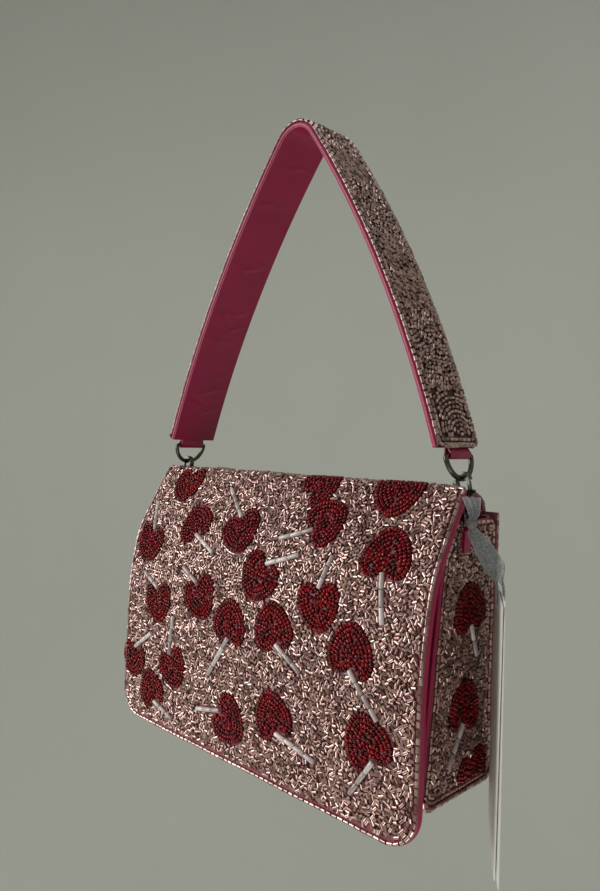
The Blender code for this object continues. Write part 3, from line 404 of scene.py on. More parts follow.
# Ribbon: the middle of its knot, the ways that the cards reach out and lie across, the
# width of the uncut ribbon, and how far out and down the doubled ribbon goes
KNOT = np.array([102.2, -4.2, -15.0])
TAG_OUT = np.array([0.8387, 0.5446, 0.0])
TAG_ACROSS = np.array([-0.5446, 0.8387, 0.0])
RIBBON_CUT = 10.0
RIBBON_REACH, RIBBON_FALL = 12.0, 32.0
# Its middle line in shares of that reach and fall, and how wide it lies down its fall
RIBBON_LINE = [(0.0, 0.075), (0.45, 0.32), (0.86, 0.60), (1.0, 0.80), (1.0, 0.965)]
RIBBON_SPREAD = [
    (0.0, 2.6), (0.1, 4.6), (0.3, 7.6), (0.55, 8.0), (0.8, 4.6), (0.9, 3.4), (1.1, 3.0),
]
# The cut end, from the middle of the knot
TAIL_LINE = [(0.6, -0.4, 1.6), (2.6, -2.6, 4.6), (3.8, -5.6, 8.2), (4.6, -8.0, 11.4)]


# Shaders
def colour(code):
    """An sRGB hex value as linear RGBA."""
    parts = [int(code[i : i + 2], 16) / 255 for i in (1, 3, 5)]
    linear = [c / 12.92 if c <= 0.04045 else ((c + 0.055) / 1.055) ** 2.4 for c in parts]
    return (*linear, 1.0)


def add(tree, kind, inputs=None, **settings):
    """Adds a node with its settings, and sets or links each of its inputs."""
    node = tree.nodes.new(kind)
    for name, value in settings.items():
        setattr(node, name, value)
    for name, value in (inputs or {}).items():
        if isinstance(value, bpy.types.NodeSocket):
            tree.links.new(value, node.inputs[name])
        else:
            node.inputs[name].default_value = value
    return node


def new_material(name, **shader):
    """A material with its Principled shader; returns it with its tree and shader."""
    material = bpy.data.materials.new(name)
    material.use_nodes = True
    principled = material.node_tree.nodes["Principled BSDF"]
    for key, value in shader.items():
        socket = key.replace("_", " ").title().replace("Ior", "IOR")
        principled.inputs[socket].default_value = value
    return material, material.node_tree, principled


def per_mm(size):
    """The scale of a noise whose pattern repeats at about a size in millimetres."""
    return 1 / (size * MM)


# How deep the relief of a surface goes, in metres
RELIEF = 0.1 * MM


def lay_surface(tree, shader, tint, shades, polish, rough, relief=None, strength=0.0):
    """What a pattern does to a surface: its colour, its polish and its relief.

    tint, polish and relief are sockets from 0 to 1; shades and rough are the two ends
    that the colour and the roughness run between.
    """
    dark, light = shades
    links = tree.links
    mixed = add(
        tree,
        "ShaderNodeMix",
        {"Factor": tint, "A": colour(dark), "B": colour(light)},
        data_type="RGBA",
    )
    links.new(mixed.outputs["Result"], shader.inputs["Base Color"])
    gloss = add(
        tree, "ShaderNodeMapRange", {"Value": polish, "To Min": rough[0], "To Max": rough[1]}
    )
    links.new(gloss.outputs["Result"], shader.inputs["Roughness"])
    if relief is not None:
        bump = add(
            tree, "ShaderNodeBump", {"Height": relief, "Strength": strength, "Distance": RELIEF}
        )
        links.new(bump.outputs["Normal"], shader.inputs["Normal"])


def glass_beads(name, dark, light, rough, metallic, coat=1.0, specular=0.5):
    """Drawn glass, cut and fire-polished: each bead has its own shade, which on all but the bugles
    also holds a painted highlight along its top and painted shade on its flanks and ends; the pale
    ones gloss.
    """
    material, tree, shader = new_material(
        name,
        metallic=metallic,
        coat_weight=coat,
        coat_roughness=0.08,
        ior=1.52,
        specular_ior_level=specular,
    )
    shade = add(tree, "ShaderNodeAttribute", attribute_name="shade").outputs["Fac"]
    lay_surface(tree, shader, shade, (dark, light), shade, rough[::-1])
    return material


def satin(name, deep, bright, rough):
    """Woven polyester satin: long floats give a soft sheen along fine rows of thread.

    The real threads lie about 0.15 mm apart, too fine to show, so they are drawn 1 mm apart.
    """
    material, tree, shader = new_material(name, ior=1.5, sheen_weight=0.35, sheen_roughness=0.4)
    shader.inputs["Sheen Tint"].default_value = colour(bright)
    place = add(tree, "ShaderNodeTexCoord").outputs["Object"]
    cloud = add(
        tree, "ShaderNodeTexNoise", {"Vector": place, "Scale": per_mm(14), "Detail": 4.0}
    ).outputs["Fac"]
    threads = add(
        tree,
        "ShaderNodeTexWave",
        {"Vector": place, "Scale": per_mm(1.0), "Distortion": 1.5, "Detail": 1.0},
        bands_direction="DIAGONAL",
    ).outputs["Fac"]
    both = add(tree, "ShaderNodeMath", {0: cloud, 1: threads}, operation="MULTIPLY").outputs[0]
    polish = (rough - 0.08, rough + 0.1)
    lay_surface(tree, shader, both, (deep, bright), cloud, polish, threads, 0.16)
    return material


def plated_metal(name, deep, bright):
    """Cast zinc, tumbled and nickel plated: smoky gloss with faint marks of handling."""
    material, tree, shader = new_material(name, metallic=1.0)
    place = add(tree, "ShaderNodeTexCoord").outputs["Object"]
    wear = add(
        tree, "ShaderNodeTexNoise", {"Vector": place, "Scale": per_mm(1.6), "Detail": 5.0}
    ).outputs["Fac"]
    lay_surface(tree, shader, wear, (deep, bright), wear, (0.20, 0.40), wear, 0.15)
    return material


def paper_stock(name, deep, bright, fibre, rough):
    """Pressed pulp: matt, with a cloudy fibre that is just felt."""
    material, tree, shader = new_material(name, ior=1.47)
    place = add(tree, "ShaderNodeTexCoord").outputs["Object"]
    pulp = add(
        tree, "ShaderNodeTexNoise", {"Vector": place, "Scale": per_mm(fibre), "Detail": 6.0}
    ).outputs["Fac"]
    lay_surface(tree, shader, pulp, (deep, bright), pulp, (rough, rough + 0.15), pulp, 0.3)
    return material


def organza(name, deep, bright):
    """Nylon organza: a sheer plain weave with closed selvedges and open ground between.

    Its threads lie about 0.25 mm apart, too fine to show, so they are drawn 0.8 mm apart.
    """
    material, tree, shader = new_material(name, ior=1.5, sheen_weight=0.5, sheen_roughness=0.3)
    place = add(tree, "ShaderNodeTexCoord").outputs["Object"]
    weave = add(
        tree, "ShaderNodeTexNoise", {"Vector": place, "Scale": per_mm(0.8), "Detail": 2.0}
    ).outputs["Fac"]
    cloud = add(
        tree, "ShaderNodeTexNoise", {"Vector": place, "Scale": per_mm(4), "Detail": 3.0}
    ).outputs["Fac"]
    selvedge = add(tree, "ShaderNodeAttribute", attribute_name="selvedge").outputs["Fac"]
    threads = add(
        tree,
        "ShaderNodeMapRange",
        {"Value": weave, "From Min": 0.3, "From Max": 0.7, "To Min": 0.22, "To Max": 0.5},
    ).outputs["Result"]
    cover = add(
        tree, "ShaderNodeMath", {0: selvedge, 1: 0.45, 2: threads}, operation="MULTIPLY_ADD"
    ).outputs[0]
    tree.links.new(cover, shader.inputs["Alpha"])
    lay_surface(tree, shader, cloud, (deep, bright), cloud, (0.3, 0.5))
    return material


# Silver-lined rose glass: a mirror under pale glass, so facets flash white or go brown, and painted
# shade on their flanks and ends browns them further
ROSE_GLASS = glass_beads("silver_lined_rose_glass", "#6a3f3a", "#eec6b9", (0.22, 0.38), 0.78)
# The same glass in the rows along the edges, a little paler and cleaner
EDGE_GLASS = glass_beads("silver_lined_edge_glass", "#7a504a", "#f0cfc5", (0.20, 0.34), 0.78)
# Transparent garnet glass over a dark core, so it stays deep red with pinpoint lights
RED_GLASS = glass_beads(
    "garnet_seed_glass", "#3c0005", "#98040f", (0.05, 0.11), 0.0, 0.1, specular=0.22
)
# Pearl-coated white bugles: chalky glass with a soft skin
PEARL_GLASS = glass_beads("pearl_bugle_glass", "#a18b89", "#e6dbd7", (0.20, 0.32), 0.0, 0.5)
# Satin under the beads, seen between them as dusky pink
ROSE_SATIN = satin("rose_ground_satin", "#8a3f4b", "#b8727b", 0.45)
# The same satin on the strap, painted darker and browner as painted shade for the shadow between
# its closer rows
STRAP_SHADED_SATIN = satin("shaded_ground_satin", "#34191a", "#5c3234", 0.5)
# Satin of the lining, the strap's underside, the tabs and the edges: a strong, even magenta
MAGENTA_SATIN = satin("magenta_satin", "#8c0f40", "#c02058", 0.34)
# Dark nickel on the rings and clasps, near black where it mirrors nothing bright
NICKEL = plated_metal("dark_nickel_plate", "#3d3b37", "#75726b")
# Grey board that stiffens the panels: dull, with coarse flecks
BOARD = paper_stock("grey_pulp_board", "#7d7a73", "#a29e95", 1.2, 0.8)
# Ivory card of the two hanging cards: smooth and faintly warm
CARD = paper_stock("ivory_card_stock", "#dcdacf", "#f1efe7", 3.0, 0.55)
# Grey organza of the ribbon: what lies behind it shows through
ORGANZA = organza("grey_organza", "#757b80", "#ccd1d4")

# Faces that meet at more than this keep a crisp edge
SHARP = math.radians(40)
# How often strewn beads are pushed apart before they lie side by side, and by how much
# of their overlap each time
PUSH_ROUNDS, PUSH_SHARE = 46, 0.8
# The discs along an outline
STILL_PITCH, STILL_RADIUS = 0.6, 0.12


# Mesh making
def place_object(name, data):
    """A mesh, a lamp or a camera as an object of the scene."""
    obj = bpy.data.objects.new(name, data)
    bpy.context.scene.collection.objects.link(obj)
    return obj


def mesh_object(name, points, faces, material):
    """A piece from points in millimetres and faces as lists of indices."""
    mesh = bpy.data.meshes.new(name)
    corners = [tuple(p) for p in in_metres(points)]
    mesh.from_pydata(corners, [], [tuple(int(i) for i in f) for f in faces])
    mesh.materials.append(material)
    mesh.update()
    mesh.shade_smooth()
    mesh.set_sharp_from_angle(angle=SHARP)
    return place_object(name, mesh)


def write_values(mesh, name, values):
    """A number at each point of a mesh, for its material to read."""
    layer = mesh.attributes.new(name, "FLOAT", "POINT")
    layer.data.foreach_set("value", np.asarray(values, np.float32).ravel())


def ring_form(profile, hole_depth, sides=10):
    """A turned bead: rings of points along its axis, with its hole sunk at both ends."""
    turns = np.arange(sides) * 2 * math.pi / sides
    points = [(x, r * math.cos(t), r * math.sin(t)) for x, r in profile for t in turns]
    points += [(-hole_depth, 0, 0), (hole_depth, 0, 0)]
    faces = []
    last = (len(profile) - 1) * sides
    for i in range(sides):
        j = (i + 1) % sides
        for k in range(len(profile) - 1):
            faces.append((k * sides + i, k * sides + j, (k + 1) * sides + j, (k + 1) * sides + i))
        faces.append((j, i, last + sides))
        faces.append((last + i, last + j, last + sides + 1))
    return np.array(points), faces


def bead_object(name, form, beads, material):
    """One object holding many beads, each with its own shade, painted lighter on top and darker at
    its flanks and ends, and its own cell of the map.

    beads holds for each bead its place, its axis and its outward direction, its length
    and width, and its roll.
    """
    form_points, form_faces = form
    place, axis, out, length, width, roll = beads
    count, size = len(place), len(form_points)
    axis = unit(axis)
    up = unit(out - axis * np.sum(out * axis, 1, keepdims=True))
    side = np.cross(axis, up)
    c, s = np.cos(roll)[:, None], np.sin(roll)[:, None]
    right, top = side * c + up * s, up * c - side * s
    points = (
        place[:, None]
        + axis[:, None] * (length[:, None] * form_points[:, 0])[..., None]
        + right[:, None] * (width[:, None] * form_points[:, 1])[..., None]
        + top[:, None] * (width[:, None] * form_points[:, 2])[..., None]
    )
    points = in_metres(points.reshape(-1, 3))
    loops = np.concatenate([np.array(f) for f in form_faces])
    sizes = np.array([len(f) for f in form_faces])
    all_loops = (loops[None] + (np.arange(count) * size)[:, None]).ravel()
    all_sizes = np.tile(sizes, count)
    starts = np.concatenate([[0], np.cumsum(all_sizes)[:-1]])

    mesh = bpy.data.meshes.new(name)
    mesh.vertices.add(len(points))
    mesh.loops.add(len(all_loops))
    mesh.polygons.add(len(all_sizes))
    mesh.vertices.foreach_set("co", points.astype(np.float32).ravel())
    mesh.loops.foreach_set("vertex_index", all_loops.astype(np.int32))
    mesh.polygons.foreach_set("loop_start", starts.astype(np.int32))
    mesh.materials.append(material)
    mesh.update(calc_edges=True)
    mesh.polygons.foreach_set("use_smooth", np.full(len(all_sizes), True))
    mesh.set_sharp_from_angle(angle=SHARP)

    # Painted highlight and shade: the top of each bead, as it is rolled, is painted lighter for the
    # lining seen through the glass, and its flanks and ends are painted darker; this scales each
    # bead's own random tone
    radius = np.maximum(np.linalg.norm(form_points[:, 1:], axis=1), 1e-6)
    lift = (form_points[:, 1] * s + form_points[:, 2] * c) / radius
    ends = 1 - smooth_step(abs(form_points[:, 0]), 0.3, 0.5)
    painted_glow = (0.2 + 0.8 * smooth_step(lift, -0.1, 0.7)) * (0.3 + 0.7 * ends)
    shade = rng_for(name).beta(1.1, 0.9, count)[:, None] * painted_glow
    write_values(mesh, "shade", shade)

    # The beads share the map as a square of cells
    cells = math.ceil(math.sqrt(count))
    corner = np.column_stack([np.arange(count) % cells, np.arange(count) // cells])
    seen = [form_points[:, 0], form_points[:, 1] + 0.3 * form_points[:, 2]]
    flat = 0.5 + 0.5 * np.column_stack(seen)
    layer = mesh.uv_layers.new(name="OFBake")
    per_loop = (corner[:, None] + flat[loops][None]).reshape(-1, 2) / cells
    layer.uv.foreach_set("vector", per_loop.astype(np.float32).ravel())
    return place_object(name, mesh)


# A short tube cut square, its rim just broken, and a plump round seed: along and out
CUT_TUBE = ring_form(
    [
        (-0.5, 0.22), (-0.5, 0.42), (-0.45, 0.5), (-0.36, 0.5),
        (0.36, 0.5), (0.45, 0.5), (0.5, 0.42), (0.5, 0.22),
    ],
    0.3,
)
SEED = ring_form(
    [
        (-0.40, 0.16), (-0.47, 0.3), (-0.3, 0.45), (0.0, 0.5),
        (0.3, 0.45), (0.47, 0.3), (0.40, 0.16),
    ],
    0.3,
    8,
)


def close_pairs(points, reach):
    """Index pairs of points nearer than reach, found cell by cell."""
    cell = ((points - points.min(0)) // reach).astype(int) + 1
    wide, tall = cell.max(0) + 2
    key = cell[:, 0] * tall + cell[:, 1]
    order = np.argsort(key, kind="stable")
    ordered = key[order]
    slot = np.arange(len(key)) - np.searchsorted(ordered, ordered)
    depth = slot.max() + 1
    table = np.full((wide * tall, depth), -1)
    table[ordered, slot] = order
    found = []
    for right, up in ((0, 0), (1, 0), (0, 1), (1, 1), (1, -1)):
        near = np.roll(table, -(right * tall + up), axis=0)
        for i in range(depth):
            for j in range(i + 1 if (right, up) == (0, 0) else 0, depth):
                both = (table[:, i] >= 0) & (near[:, j] >= 0)
                found.append(np.column_stack([table[both, i], near[both, j]]))
    found = np.vstack(found)
    gap = np.linalg.norm(points[found[:, 0]] - points[found[:, 1]], axis=1)
    return found[gap < reach]


def inside(points, outline):
    """Which points lie inside a closed outline."""
    x, y = points[:, 0], points[:, 1]
    result = np.zeros(len(points), bool)
    for (x0, y0), (x1, y1) in zip(outline, np.roll(outline, -1, 0)):
        crosses = (y0 > y) != (y1 > y)
        with np.errstate(divide="ignore", invalid="ignore"):
            at = x0 + (y - y0) / (y1 - y0) * (x1 - x0)
        result ^= crosses & (x < at)
    return result


def strew(rng, outline, holes, spacing, aim=None, length=TUBE_LENGTH, width=TUBE_WIDTH):
    """Cut tubes sewn at random inside an outline, pushed apart until they lie side by side.

    Each bead is held as two discs. Returns the middles and the angles of the beads.
    """
    outline = np.asarray(outline, float)
    low, high = outline.min(0), outline.max(0)
    rise = spacing * math.sqrt(3) / 2
    grid = np.array(
        [
            (low[0] + spacing * (i + 0.5 * (j % 2)), low[1] + rise * j)
            for j in range(int((high[1] - low[1]) / rise) + 1)
            for i in range(int((high[0] - low[0]) / spacing) + 1)
        ]
    )
    grid += rng.normal(0, spacing * 0.22, grid.shape)
    keep = inside(grid, outline)
    for hole in holes:
        keep &= ~inside(grid, hole)
    middle = grid[keep]
    angle = rng.uniform(0, math.pi, len(middle))
    if aim is not None:
        angle = aim(middle) + rng.normal(0, 0.08, len(middle))
    half = (length - width) / 2
    arm = np.column_stack([np.cos(angle), np.sin(angle)]) * half
    # Small discs that stay where they are hold the beads off the outlines
    still = np.vstack([resample(line, STILL_PITCH, True) for line in (outline, *holes)])
    count = len(middle)
    discs = np.vstack([middle - arm, middle + arm, still])
    radius = np.concatenate([np.full(2 * count, width / 2), np.full(len(still), STILL_RADIUS)])
    free = np.arange(len(discs)) < 2 * count
    for turn in range(PUSH_ROUNDS):
        if turn % 4 == 0:
            pairs = close_pairs(discs, width + 0.5)
            mates = (pairs[:, 0] % count == pairs[:, 1] % count) & (pairs.max(1) < 2 * count)
            pairs = pairs[~mates & free[pairs].any(1)]
            one, two = pairs.T
            share = np.where(free[one] & free[two], 0.5, 1.0)
        gap = discs[one] - discs[two]
        apart = np.maximum(np.linalg.norm(gap, axis=1), 1e-6)
        push = np.maximum(radius[one] + radius[two] - apart, 0) * share * PUSH_SHARE / apart
        move = gap * push[:, None]
        for k in range(2):
            discs[:, k] += np.bincount(one, move[:, k] * free[one], len(discs))
            discs[:, k] -= np.bincount(two, move[:, k] * free[two], len(discs))
        first, second = discs[:count], discs[count : 2 * count]
        centre = (first + second) / 2
        arm = unit(second - first) * half
        discs[:count], discs[count : 2 * count] = centre - arm, centre + arm
    middle = (discs[:count] + discs[count : 2 * count]) / 2
    arm = discs[count : 2 * count] - middle
    keep = inside(middle, outline)
    for hole in holes:
        keep &= ~inside(middle, hole)
    return middle[keep], np.arctan2(arm[keep, 1], arm[keep, 0])


# Half a plump heart from its notch to its tip: to the side, and above its middle
HEART_HALF = [
    (0.0, 6.4), (1.9, 8.5), (5.6, 9.8), (9.6, 8.4), (11.7, 4.2), (11.1, -1.2), (8.4, -6.3),
    (4.4, -9.9), (0.0, -11.4),
]
NOTCH = 6.4


def turned(points, angle):
    """Flat places turned so that down points at the angle: 0 is down, 90 to the right."""
    c, s = math.cos(math.radians(angle)), math.sin(math.radians(angle))
    return np.asarray(points, float) @ np.array([[c, -s], [s, c]])


def heart_outline(across, along, tip, size):
    """The closed, smooth outline of a heart on a face."""
    half = np.array(HEART_HALF) * [1, -1]
    other = half[-2:0:-1] * [-1, 1]
    loop = np.vstack([half, other])
    line = smooth_line(np.vstack([loop[-1], loop, loop[:2]]), 10)[10:-10][:-1]
    return turned(line, tip) * size + [across, along]


def heart_rows(outline, rng):
    """Seed beads in rows that follow the heart's outline inwards, then in what is left."""
    turn = turn_of(outline, True)
    inward = np.column_stack([-turn[:, 1], turn[:, 0]])
    if not inside(outline[:1] + inward[:1] * 0.4, outline)[0]:
        inward = -inward
    edge = resample(outline, 0.4, True)
    # Rows one bead inside the last, until the heart's middle is reached
    rows = []
    depth = SEED_WIDTH / 2
    while depth < 12:
        moved = outline + inward * depth
        gap = np.linalg.norm(moved[:, None] - edge[None], axis=2).min(1)
        kept = moved[(gap > depth * 0.985) & inside(moved, outline)]
        if len(kept) < 6:
            break
        rows.append(resample(kept, SEED_LENGTH * 1.04, True))
        depth += SEED_WIDTH * 0.96
    # Places all over the heart, tried last, for what the rows leave bare
    low, high = outline.min(0), outline.max(0)
    spare = np.array(
        [(x, y) for x in np.arange(low[0], high[0], 0.5) for y in np.arange(low[1], high[1], 0.5)]
    )
    spare = spare[inside(spare, outline)]
    clear = np.linalg.norm(spare[:, None] - edge[None], axis=2).min(1)
    spare = spare[clear > SEED_WIDTH * 0.48]
    beads, turns = [], []
    taken = np.zeros((0, 2))
    for row in [*rows, spare]:
        loose = row is spare
        if loose:
            way = np.tile(turned([(0, 1)], rng.uniform(0, 180)), (len(row), 1))
        else:
            way = turn_of(row, True)
        for place, direction in zip(row, way):
            if len(taken):
                gap = taken - place
                side = np.array([-direction[1], direction[0]])
                near = ((gap @ direction) / SEED_LENGTH) ** 2 + ((gap @ side) / SEED_WIDTH) ** 2
                if near.min() < (0.8 if loose else 0.72):
                    continue
            beads.append(place)
            turns.append(math.atan2(direction[1], direction[0]))
            taken = np.vstack([taken, place])
    beads = np.array(beads) + rng.normal(0, 0.07, (len(beads), 2))
    return beads, np.array(turns) + rng.normal(0, 0.14, len(turns))


def stick_line(across, along, tip, size, way, length, bend):
    """The line of a heart's stick, which starts in the notch."""
    start = np.array([across, along]) + turned([(0, -NOTCH * size - 0.9)], tip)[0]
    t = np.linspace(0, 1, 7)
    sway = bend * np.sin(math.pi * t) * 0.12 + bend * 0.35 * t**2
    straight = np.column_stack([sway, length * t])
    return start + turned(straight, way)


def stick_edge(line, half):
    """An outline round a stick, to keep the tubes off it."""
    way = turn_of(line)
    side = np.column_stack([-way[:, 1], way[:, 0]]) * half
    line = line.copy()
    line[0] -= way[0] * 0.3
    line[-1] += way[-1] * 0.5
    return np.vstack([line + side, (line - side)[::-1]])


def on_face(face, middle, angle, depth, length, width, rng, tilt=TUBE_TILT):
    """Places beads that lie on a face, from flat places and angles."""
    u, v = middle.T
    along, out = face.along(v), face.out(v)
    axis = face.across * np.cos(angle)[:, None] + along * np.sin(angle)[:, None]
    count = len(u)
    axis = axis + out * rng.normal(0, tilt, count)[:, None]
    depth = depth + rng.normal(0, 0.06, count)
    place = face.place(u, v, depth)
    roll = rng.uniform(0, 2 * math.pi, count)
    lengths = length * rng.uniform(0.8, 1.14, count)
    widths = width * rng.uniform(0.92, 1.06, count)
    return place, axis, out, lengths, widths, roll


def pick(beads, chosen):
    return tuple(part[chosen] for part in beads)


def join(*sets):
    return tuple(np.concatenate(parts) for parts in zip(*sets))


# The bodies on both sides of the flap's fold, and the ends of the line that runs over it
FOLD_ENDS = [tuple(in_metres(FLAP.place([0.0], [v]))[0]) for v in (-FOLD_REACH, FOLD_REACH)]
FOLD = ("bag", "flap", *FOLD_ENDS)


def settle(obj, body, slot, *nodes):
    """A finished piece rides on a body and stands for its nodes."""
    if isinstance(body, str):
        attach(obj, body)
    else:
        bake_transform(obj)
    if nodes:
        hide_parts(*nodes)


def sew(name, shape, body, *nodes):
    """A piece of the magenta satin, from its points and faces."""
    settle(mesh_object(name, *shape, MAGENTA_SATIN), body, "magenta_satin", *nodes)


def lay_beads(name, form, beads, glass, body):
    """Beads as pieces of a size that keeps every one of their facets in the export."""
    parts = math.ceil(len(beads[0]) / MOST_BEADS)
    for part in range(parts):
        chosen = np.arange(part, len(beads[0]), parts)
        label = name if parts == 1 else f"{name}_{part + 1}"
        settle(bead_object(label, form, pick(beads, chosen), glass), body, "rose_bead_cloth")


def lay_flap_beads(name, form, beads, v, glass):
    """Beads of the flap, shared out between the bag, the fold and the flap."""
    top, fall = v < -FOLD_REACH, v >= FOLD_REACH
    for label, body, chosen in (
        ("top", "bag", top),
        ("fold", FOLD, ~(top | fall)),
        ("fall", "flap", fall),
    ):
        if chosen.any():
            lay_beads(f"{label}_{name}", form, pick(beads, chosen), glass, body)


def row_along(face, line, rng, depth=ROW_DEPTH, closed=False, size=(EDGE_LENGTH, EDGE_WIDTH)):
    """Tubes sewn end to end along a line on a face."""
    path = resample(line, EDGE_PITCH, closed)
    way = turn_of(path, closed)
    return on_face(face, path, np.arctan2(way[:, 1], way[:, 0]), depth, *size, rng, ROW_TILT)


def lay_rows(name, rows, body, *nodes, glass=EDGE_GLASS):
    """Rows of tubes as one piece."""
    settle(bead_object(name, CUT_TUBE, join(*rows), glass), body, "edge_bead_row", *nodes)


def cover(face, hearts, outline, rng, limit=None):
    """Hearts on a face and tubes strewn round them: the tubes, the seeds and the sticks.

    Tubes and seeds come with how far along the face each one lies.
    """
    middle, angle, holes, sticks = hearts_on(face, hearts, rng, limit)
    fill, fill_angle = strew(rng, outline, holes, TUBE_SPACING)
    tubes = on_face(face, fill, fill_angle, TUBE_DEPTH, TUBE_LENGTH, TUBE_WIDTH, rng)
    seeds = on_face(face, middle, angle, SEED_DEPTH, SEED_LENGTH, SEED_WIDTH, rng, SEED_TILT)
    return (tubes, fill[:, 1]), (seeds, middle[:, 1]), sticks


def lay_cover(label, face, hearts, outline, rng, limit=None):
    """The beads and sticks of a face that is all one part of the bag."""
    (tubes, _), (seeds, _), sticks = cover(face, hearts, outline, rng, limit)
    lay_beads(f"{label}_cut_tubes", CUT_TUBE, tubes, ROSE_GLASS, "bag")
    lay_beads(f"{label}_heart_seeds", SEED, seeds, RED_GLASS, "bag")
    lay_sticks(f"{label}_sticks", face, sticks, "bag")


def tube_faces(rings, sides, closed=False):
    """The faces of a tube of rings, which is a loop or has flat ends."""
    faces = []
    for i in range(rings if closed else rings - 1):
        k = (i + 1) % rings
        for j in range(sides):
            m = (j + 1) % sides
            faces.append((i * sides + j, i * sides + m, k * sides + m, k * sides + j))
    if not closed:
        faces.append(list(reversed(range(sides))))
        faces.append(list(range((rings - 1) * sides, rings * sides)))
    return faces


def bugle_forms(face, line, depth, rng):
    """The bugles laid end to end along a line on a face, each as its points and faces."""
    at = distances(line)
    count = max(int(round(at[-1] / BUGLE_LENGTH)), 1)
    ends = np.linspace(0, at[-1], count + 1)
    turns = np.arange(12) * math.pi / 6
    forms = []
    sides = len(turns)
    for start, end in zip(ends[:-1] + BUGLE_GAP, ends[1:] - BUGLE_GAP):
        where = np.array([start, start + 0.1, start + 0.3, end - 0.3, end - 0.1, end])
        scale = np.array([0.55, 0.9, 1.0, 1.0, 0.9, 0.55]) * BUGLE_WIDTH / 2
        u, v = (np.interp([start, end], at, line[:, k]) for k in range(2))
        share = (where - start) / (end - start)
        path = face.place(u[0] + (u[1] - u[0]) * share, v[0] + (v[1] - v[0]) * share, depth)
        path = path + rng.normal(0, 0.05, 3)
        out = face.out(v[:1])[0]
        side = unit(np.cross(path[-1] - path[0], out))
        ring = np.cos(turns)[:, None] * side + np.sin(turns)[:, None] * out
        points = (path[:, None] + scale[:, None, None] * ring).reshape(-1, 3)
        forms.append((points, tube_faces(len(where), sides)))
    return forms


def lay_sticks(name, face, sticks, body):
    """All the sticks of one part of the bag as one object; each bugle has its own shade."""
    rng = rng_for(name)
    forms = [form for line in sticks for form in bugle_forms(face, line, STICK_DEPTH, rng)]
    starts = np.concatenate([[0], np.cumsum([len(points) for points, _ in forms])])
    faces = [[i + start for i in f] for (_, part), start in zip(forms, starts) for f in part]
    obj = mesh_object(name, np.vstack([points for points, _ in forms]), faces, PEARL_GLASS)
    write_values(obj.data, "shade", np.repeat(rng.uniform(0, 1, len(forms)), np.diff(starts)))
    settle(obj, body, "rose_bead_cloth")


def hearts_on(face, rows, rng, limit=None):
    """Seed beads and keep-out outlines of the hearts and sticks on a face."""
    middles, angles, holes, sticks = [], [], [], []
    for across, along, tip, size, way, length, bend in rows:
        outline = heart_outline(across, along, tip, size)
        middle, angle = heart_rows(outline, rng)
        if limit is not None:
            keep = inside(middle, limit)
            middle, angle = middle[keep], angle[keep]
        holes.append(outline)
        if length:
            line = stick_line(across, along, tip, size, way, length, bend)
            sticks.append(line)
            holes.append(stick_edge(line, BUGLE_WIDTH / 2))
            clear = ~inside(middle, stick_edge(line, BUGLE_WIDTH / 2 + SEED_WIDTH * 0.4))
            middle, angle = middle[clear], angle[clear]
        middles.append(middle)
        angles.append(angle)
    return np.vstack(middles), np.concatenate(angles), holes, sticks


def slab_faces(rows, columns):
    """The faces of a thin closed slab: two grids of points and the rim between them."""
    count = rows * columns
    faces = []
    for i in range(rows - 1):
        for j in range(columns - 1):
            a, b = i * columns + j, (i + 1) * columns + j
            faces.append((a, b, b + 1, a + 1))
            faces.append((count + a + 1, count + b + 1, count + b, count + a))
    rim = list(range(columns))
    rim += [i * columns + columns - 1 for i in range(1, rows)]
    rim += [(rows - 1) * columns + j for j in reversed(range(columns - 1))]
    rim += [i * columns for i in reversed(range(1, rows - 1))]
    for a, b in zip(rim, rim[1:] + rim[:1]):
        faces.append((a, b, count + b, count + a))
    return faces


def sheet_grid(face, us, vs, shallow, deep, ripple=None):
    """A closed sheet of cloth on a face, from one depth to another.

    us holds a row of places across for each place along in vs; shallow and deep may be
    functions of the place along.
    """
    layers = []
    for depth in (shallow, deep):
        points = []
        for u, v in zip(us, vs):
            u = np.asarray(u, float)
            at = depth(v) if callable(depth) else depth
            if ripple:
                at = at - ripple(u, v)
            points.append(face.place(u, np.full(len(u), v), at))
        layers.append(np.vstack(points))
    return np.vstack(layers), slab_faces(len(vs), len(us[0]))


def sweep(path, outs, section, closed=False):
    """A section carried along a path; outs is the section's up at each point."""
    path = np.asarray(path, float)
    outs = np.broadcast_to(np.asarray(outs, float), path.shape)
    along = turn_of(path, closed)
    outs = unit(outs - along * np.sum(outs * along, 1, keepdims=True))
    sides = np.cross(along, outs)
    section = np.asarray(section, float)
    points = (
        path[:, None]
        + sides[:, None] * section[None, :, :1]
        + outs[:, None] * section[None, :, 1:]
    ).reshape(-1, 3)
    return points, tube_faces(len(path), len(section), closed)


def round_section(wide, tall, sides=14):
    turns = np.arange(sides) * 2 * math.pi / sides
    return np.column_stack([wide * np.cos(turns), tall * np.sin(turns)])


# Cloth: sheets on the faces, rolls along their edges
def sheet(face, half, vs, shallow, deep, columns, ripple=None):
    """Cloth on a face, whose half width may change along it, as points and faces."""
    us = [np.linspace(-1, 1, columns) * (half(v) if callable(half) else half) for v in vs]
    return sheet_grid(face, us, vs, shallow, deep, ripple)


def lay_ground(name, shape, body, *nodes, material=ROSE_SATIN):
    """The satin that the beads are sewn to, from its points and faces."""
    settle(mesh_object(name, *shape, material), body, "rose_bead_cloth", *nodes)


def roll_along(name, face, line, depth, wide, tall, body):
    """Satin rolled over an edge, along a line on a face."""
    places = face.place(line[:, 0], line[:, 1], depth)
    sew(name, sweep(places, face.out(line[:, 1]), round_section(wide, tall)), body)


# Flap
def flap_half(v):
    """Half the flap's width at a place along it, with its two round corners."""
    wide = TOP_SIDE + (FLAP_SIDE - TOP_SIDE) * float(smooth_step(v, -9.5, -5.5))
    into = max(v - CORNER_START, 0.0)
    return wide - (FLAP_CORNER - math.sqrt(max(FLAP_CORNER**2 - into**2, 0.0)))


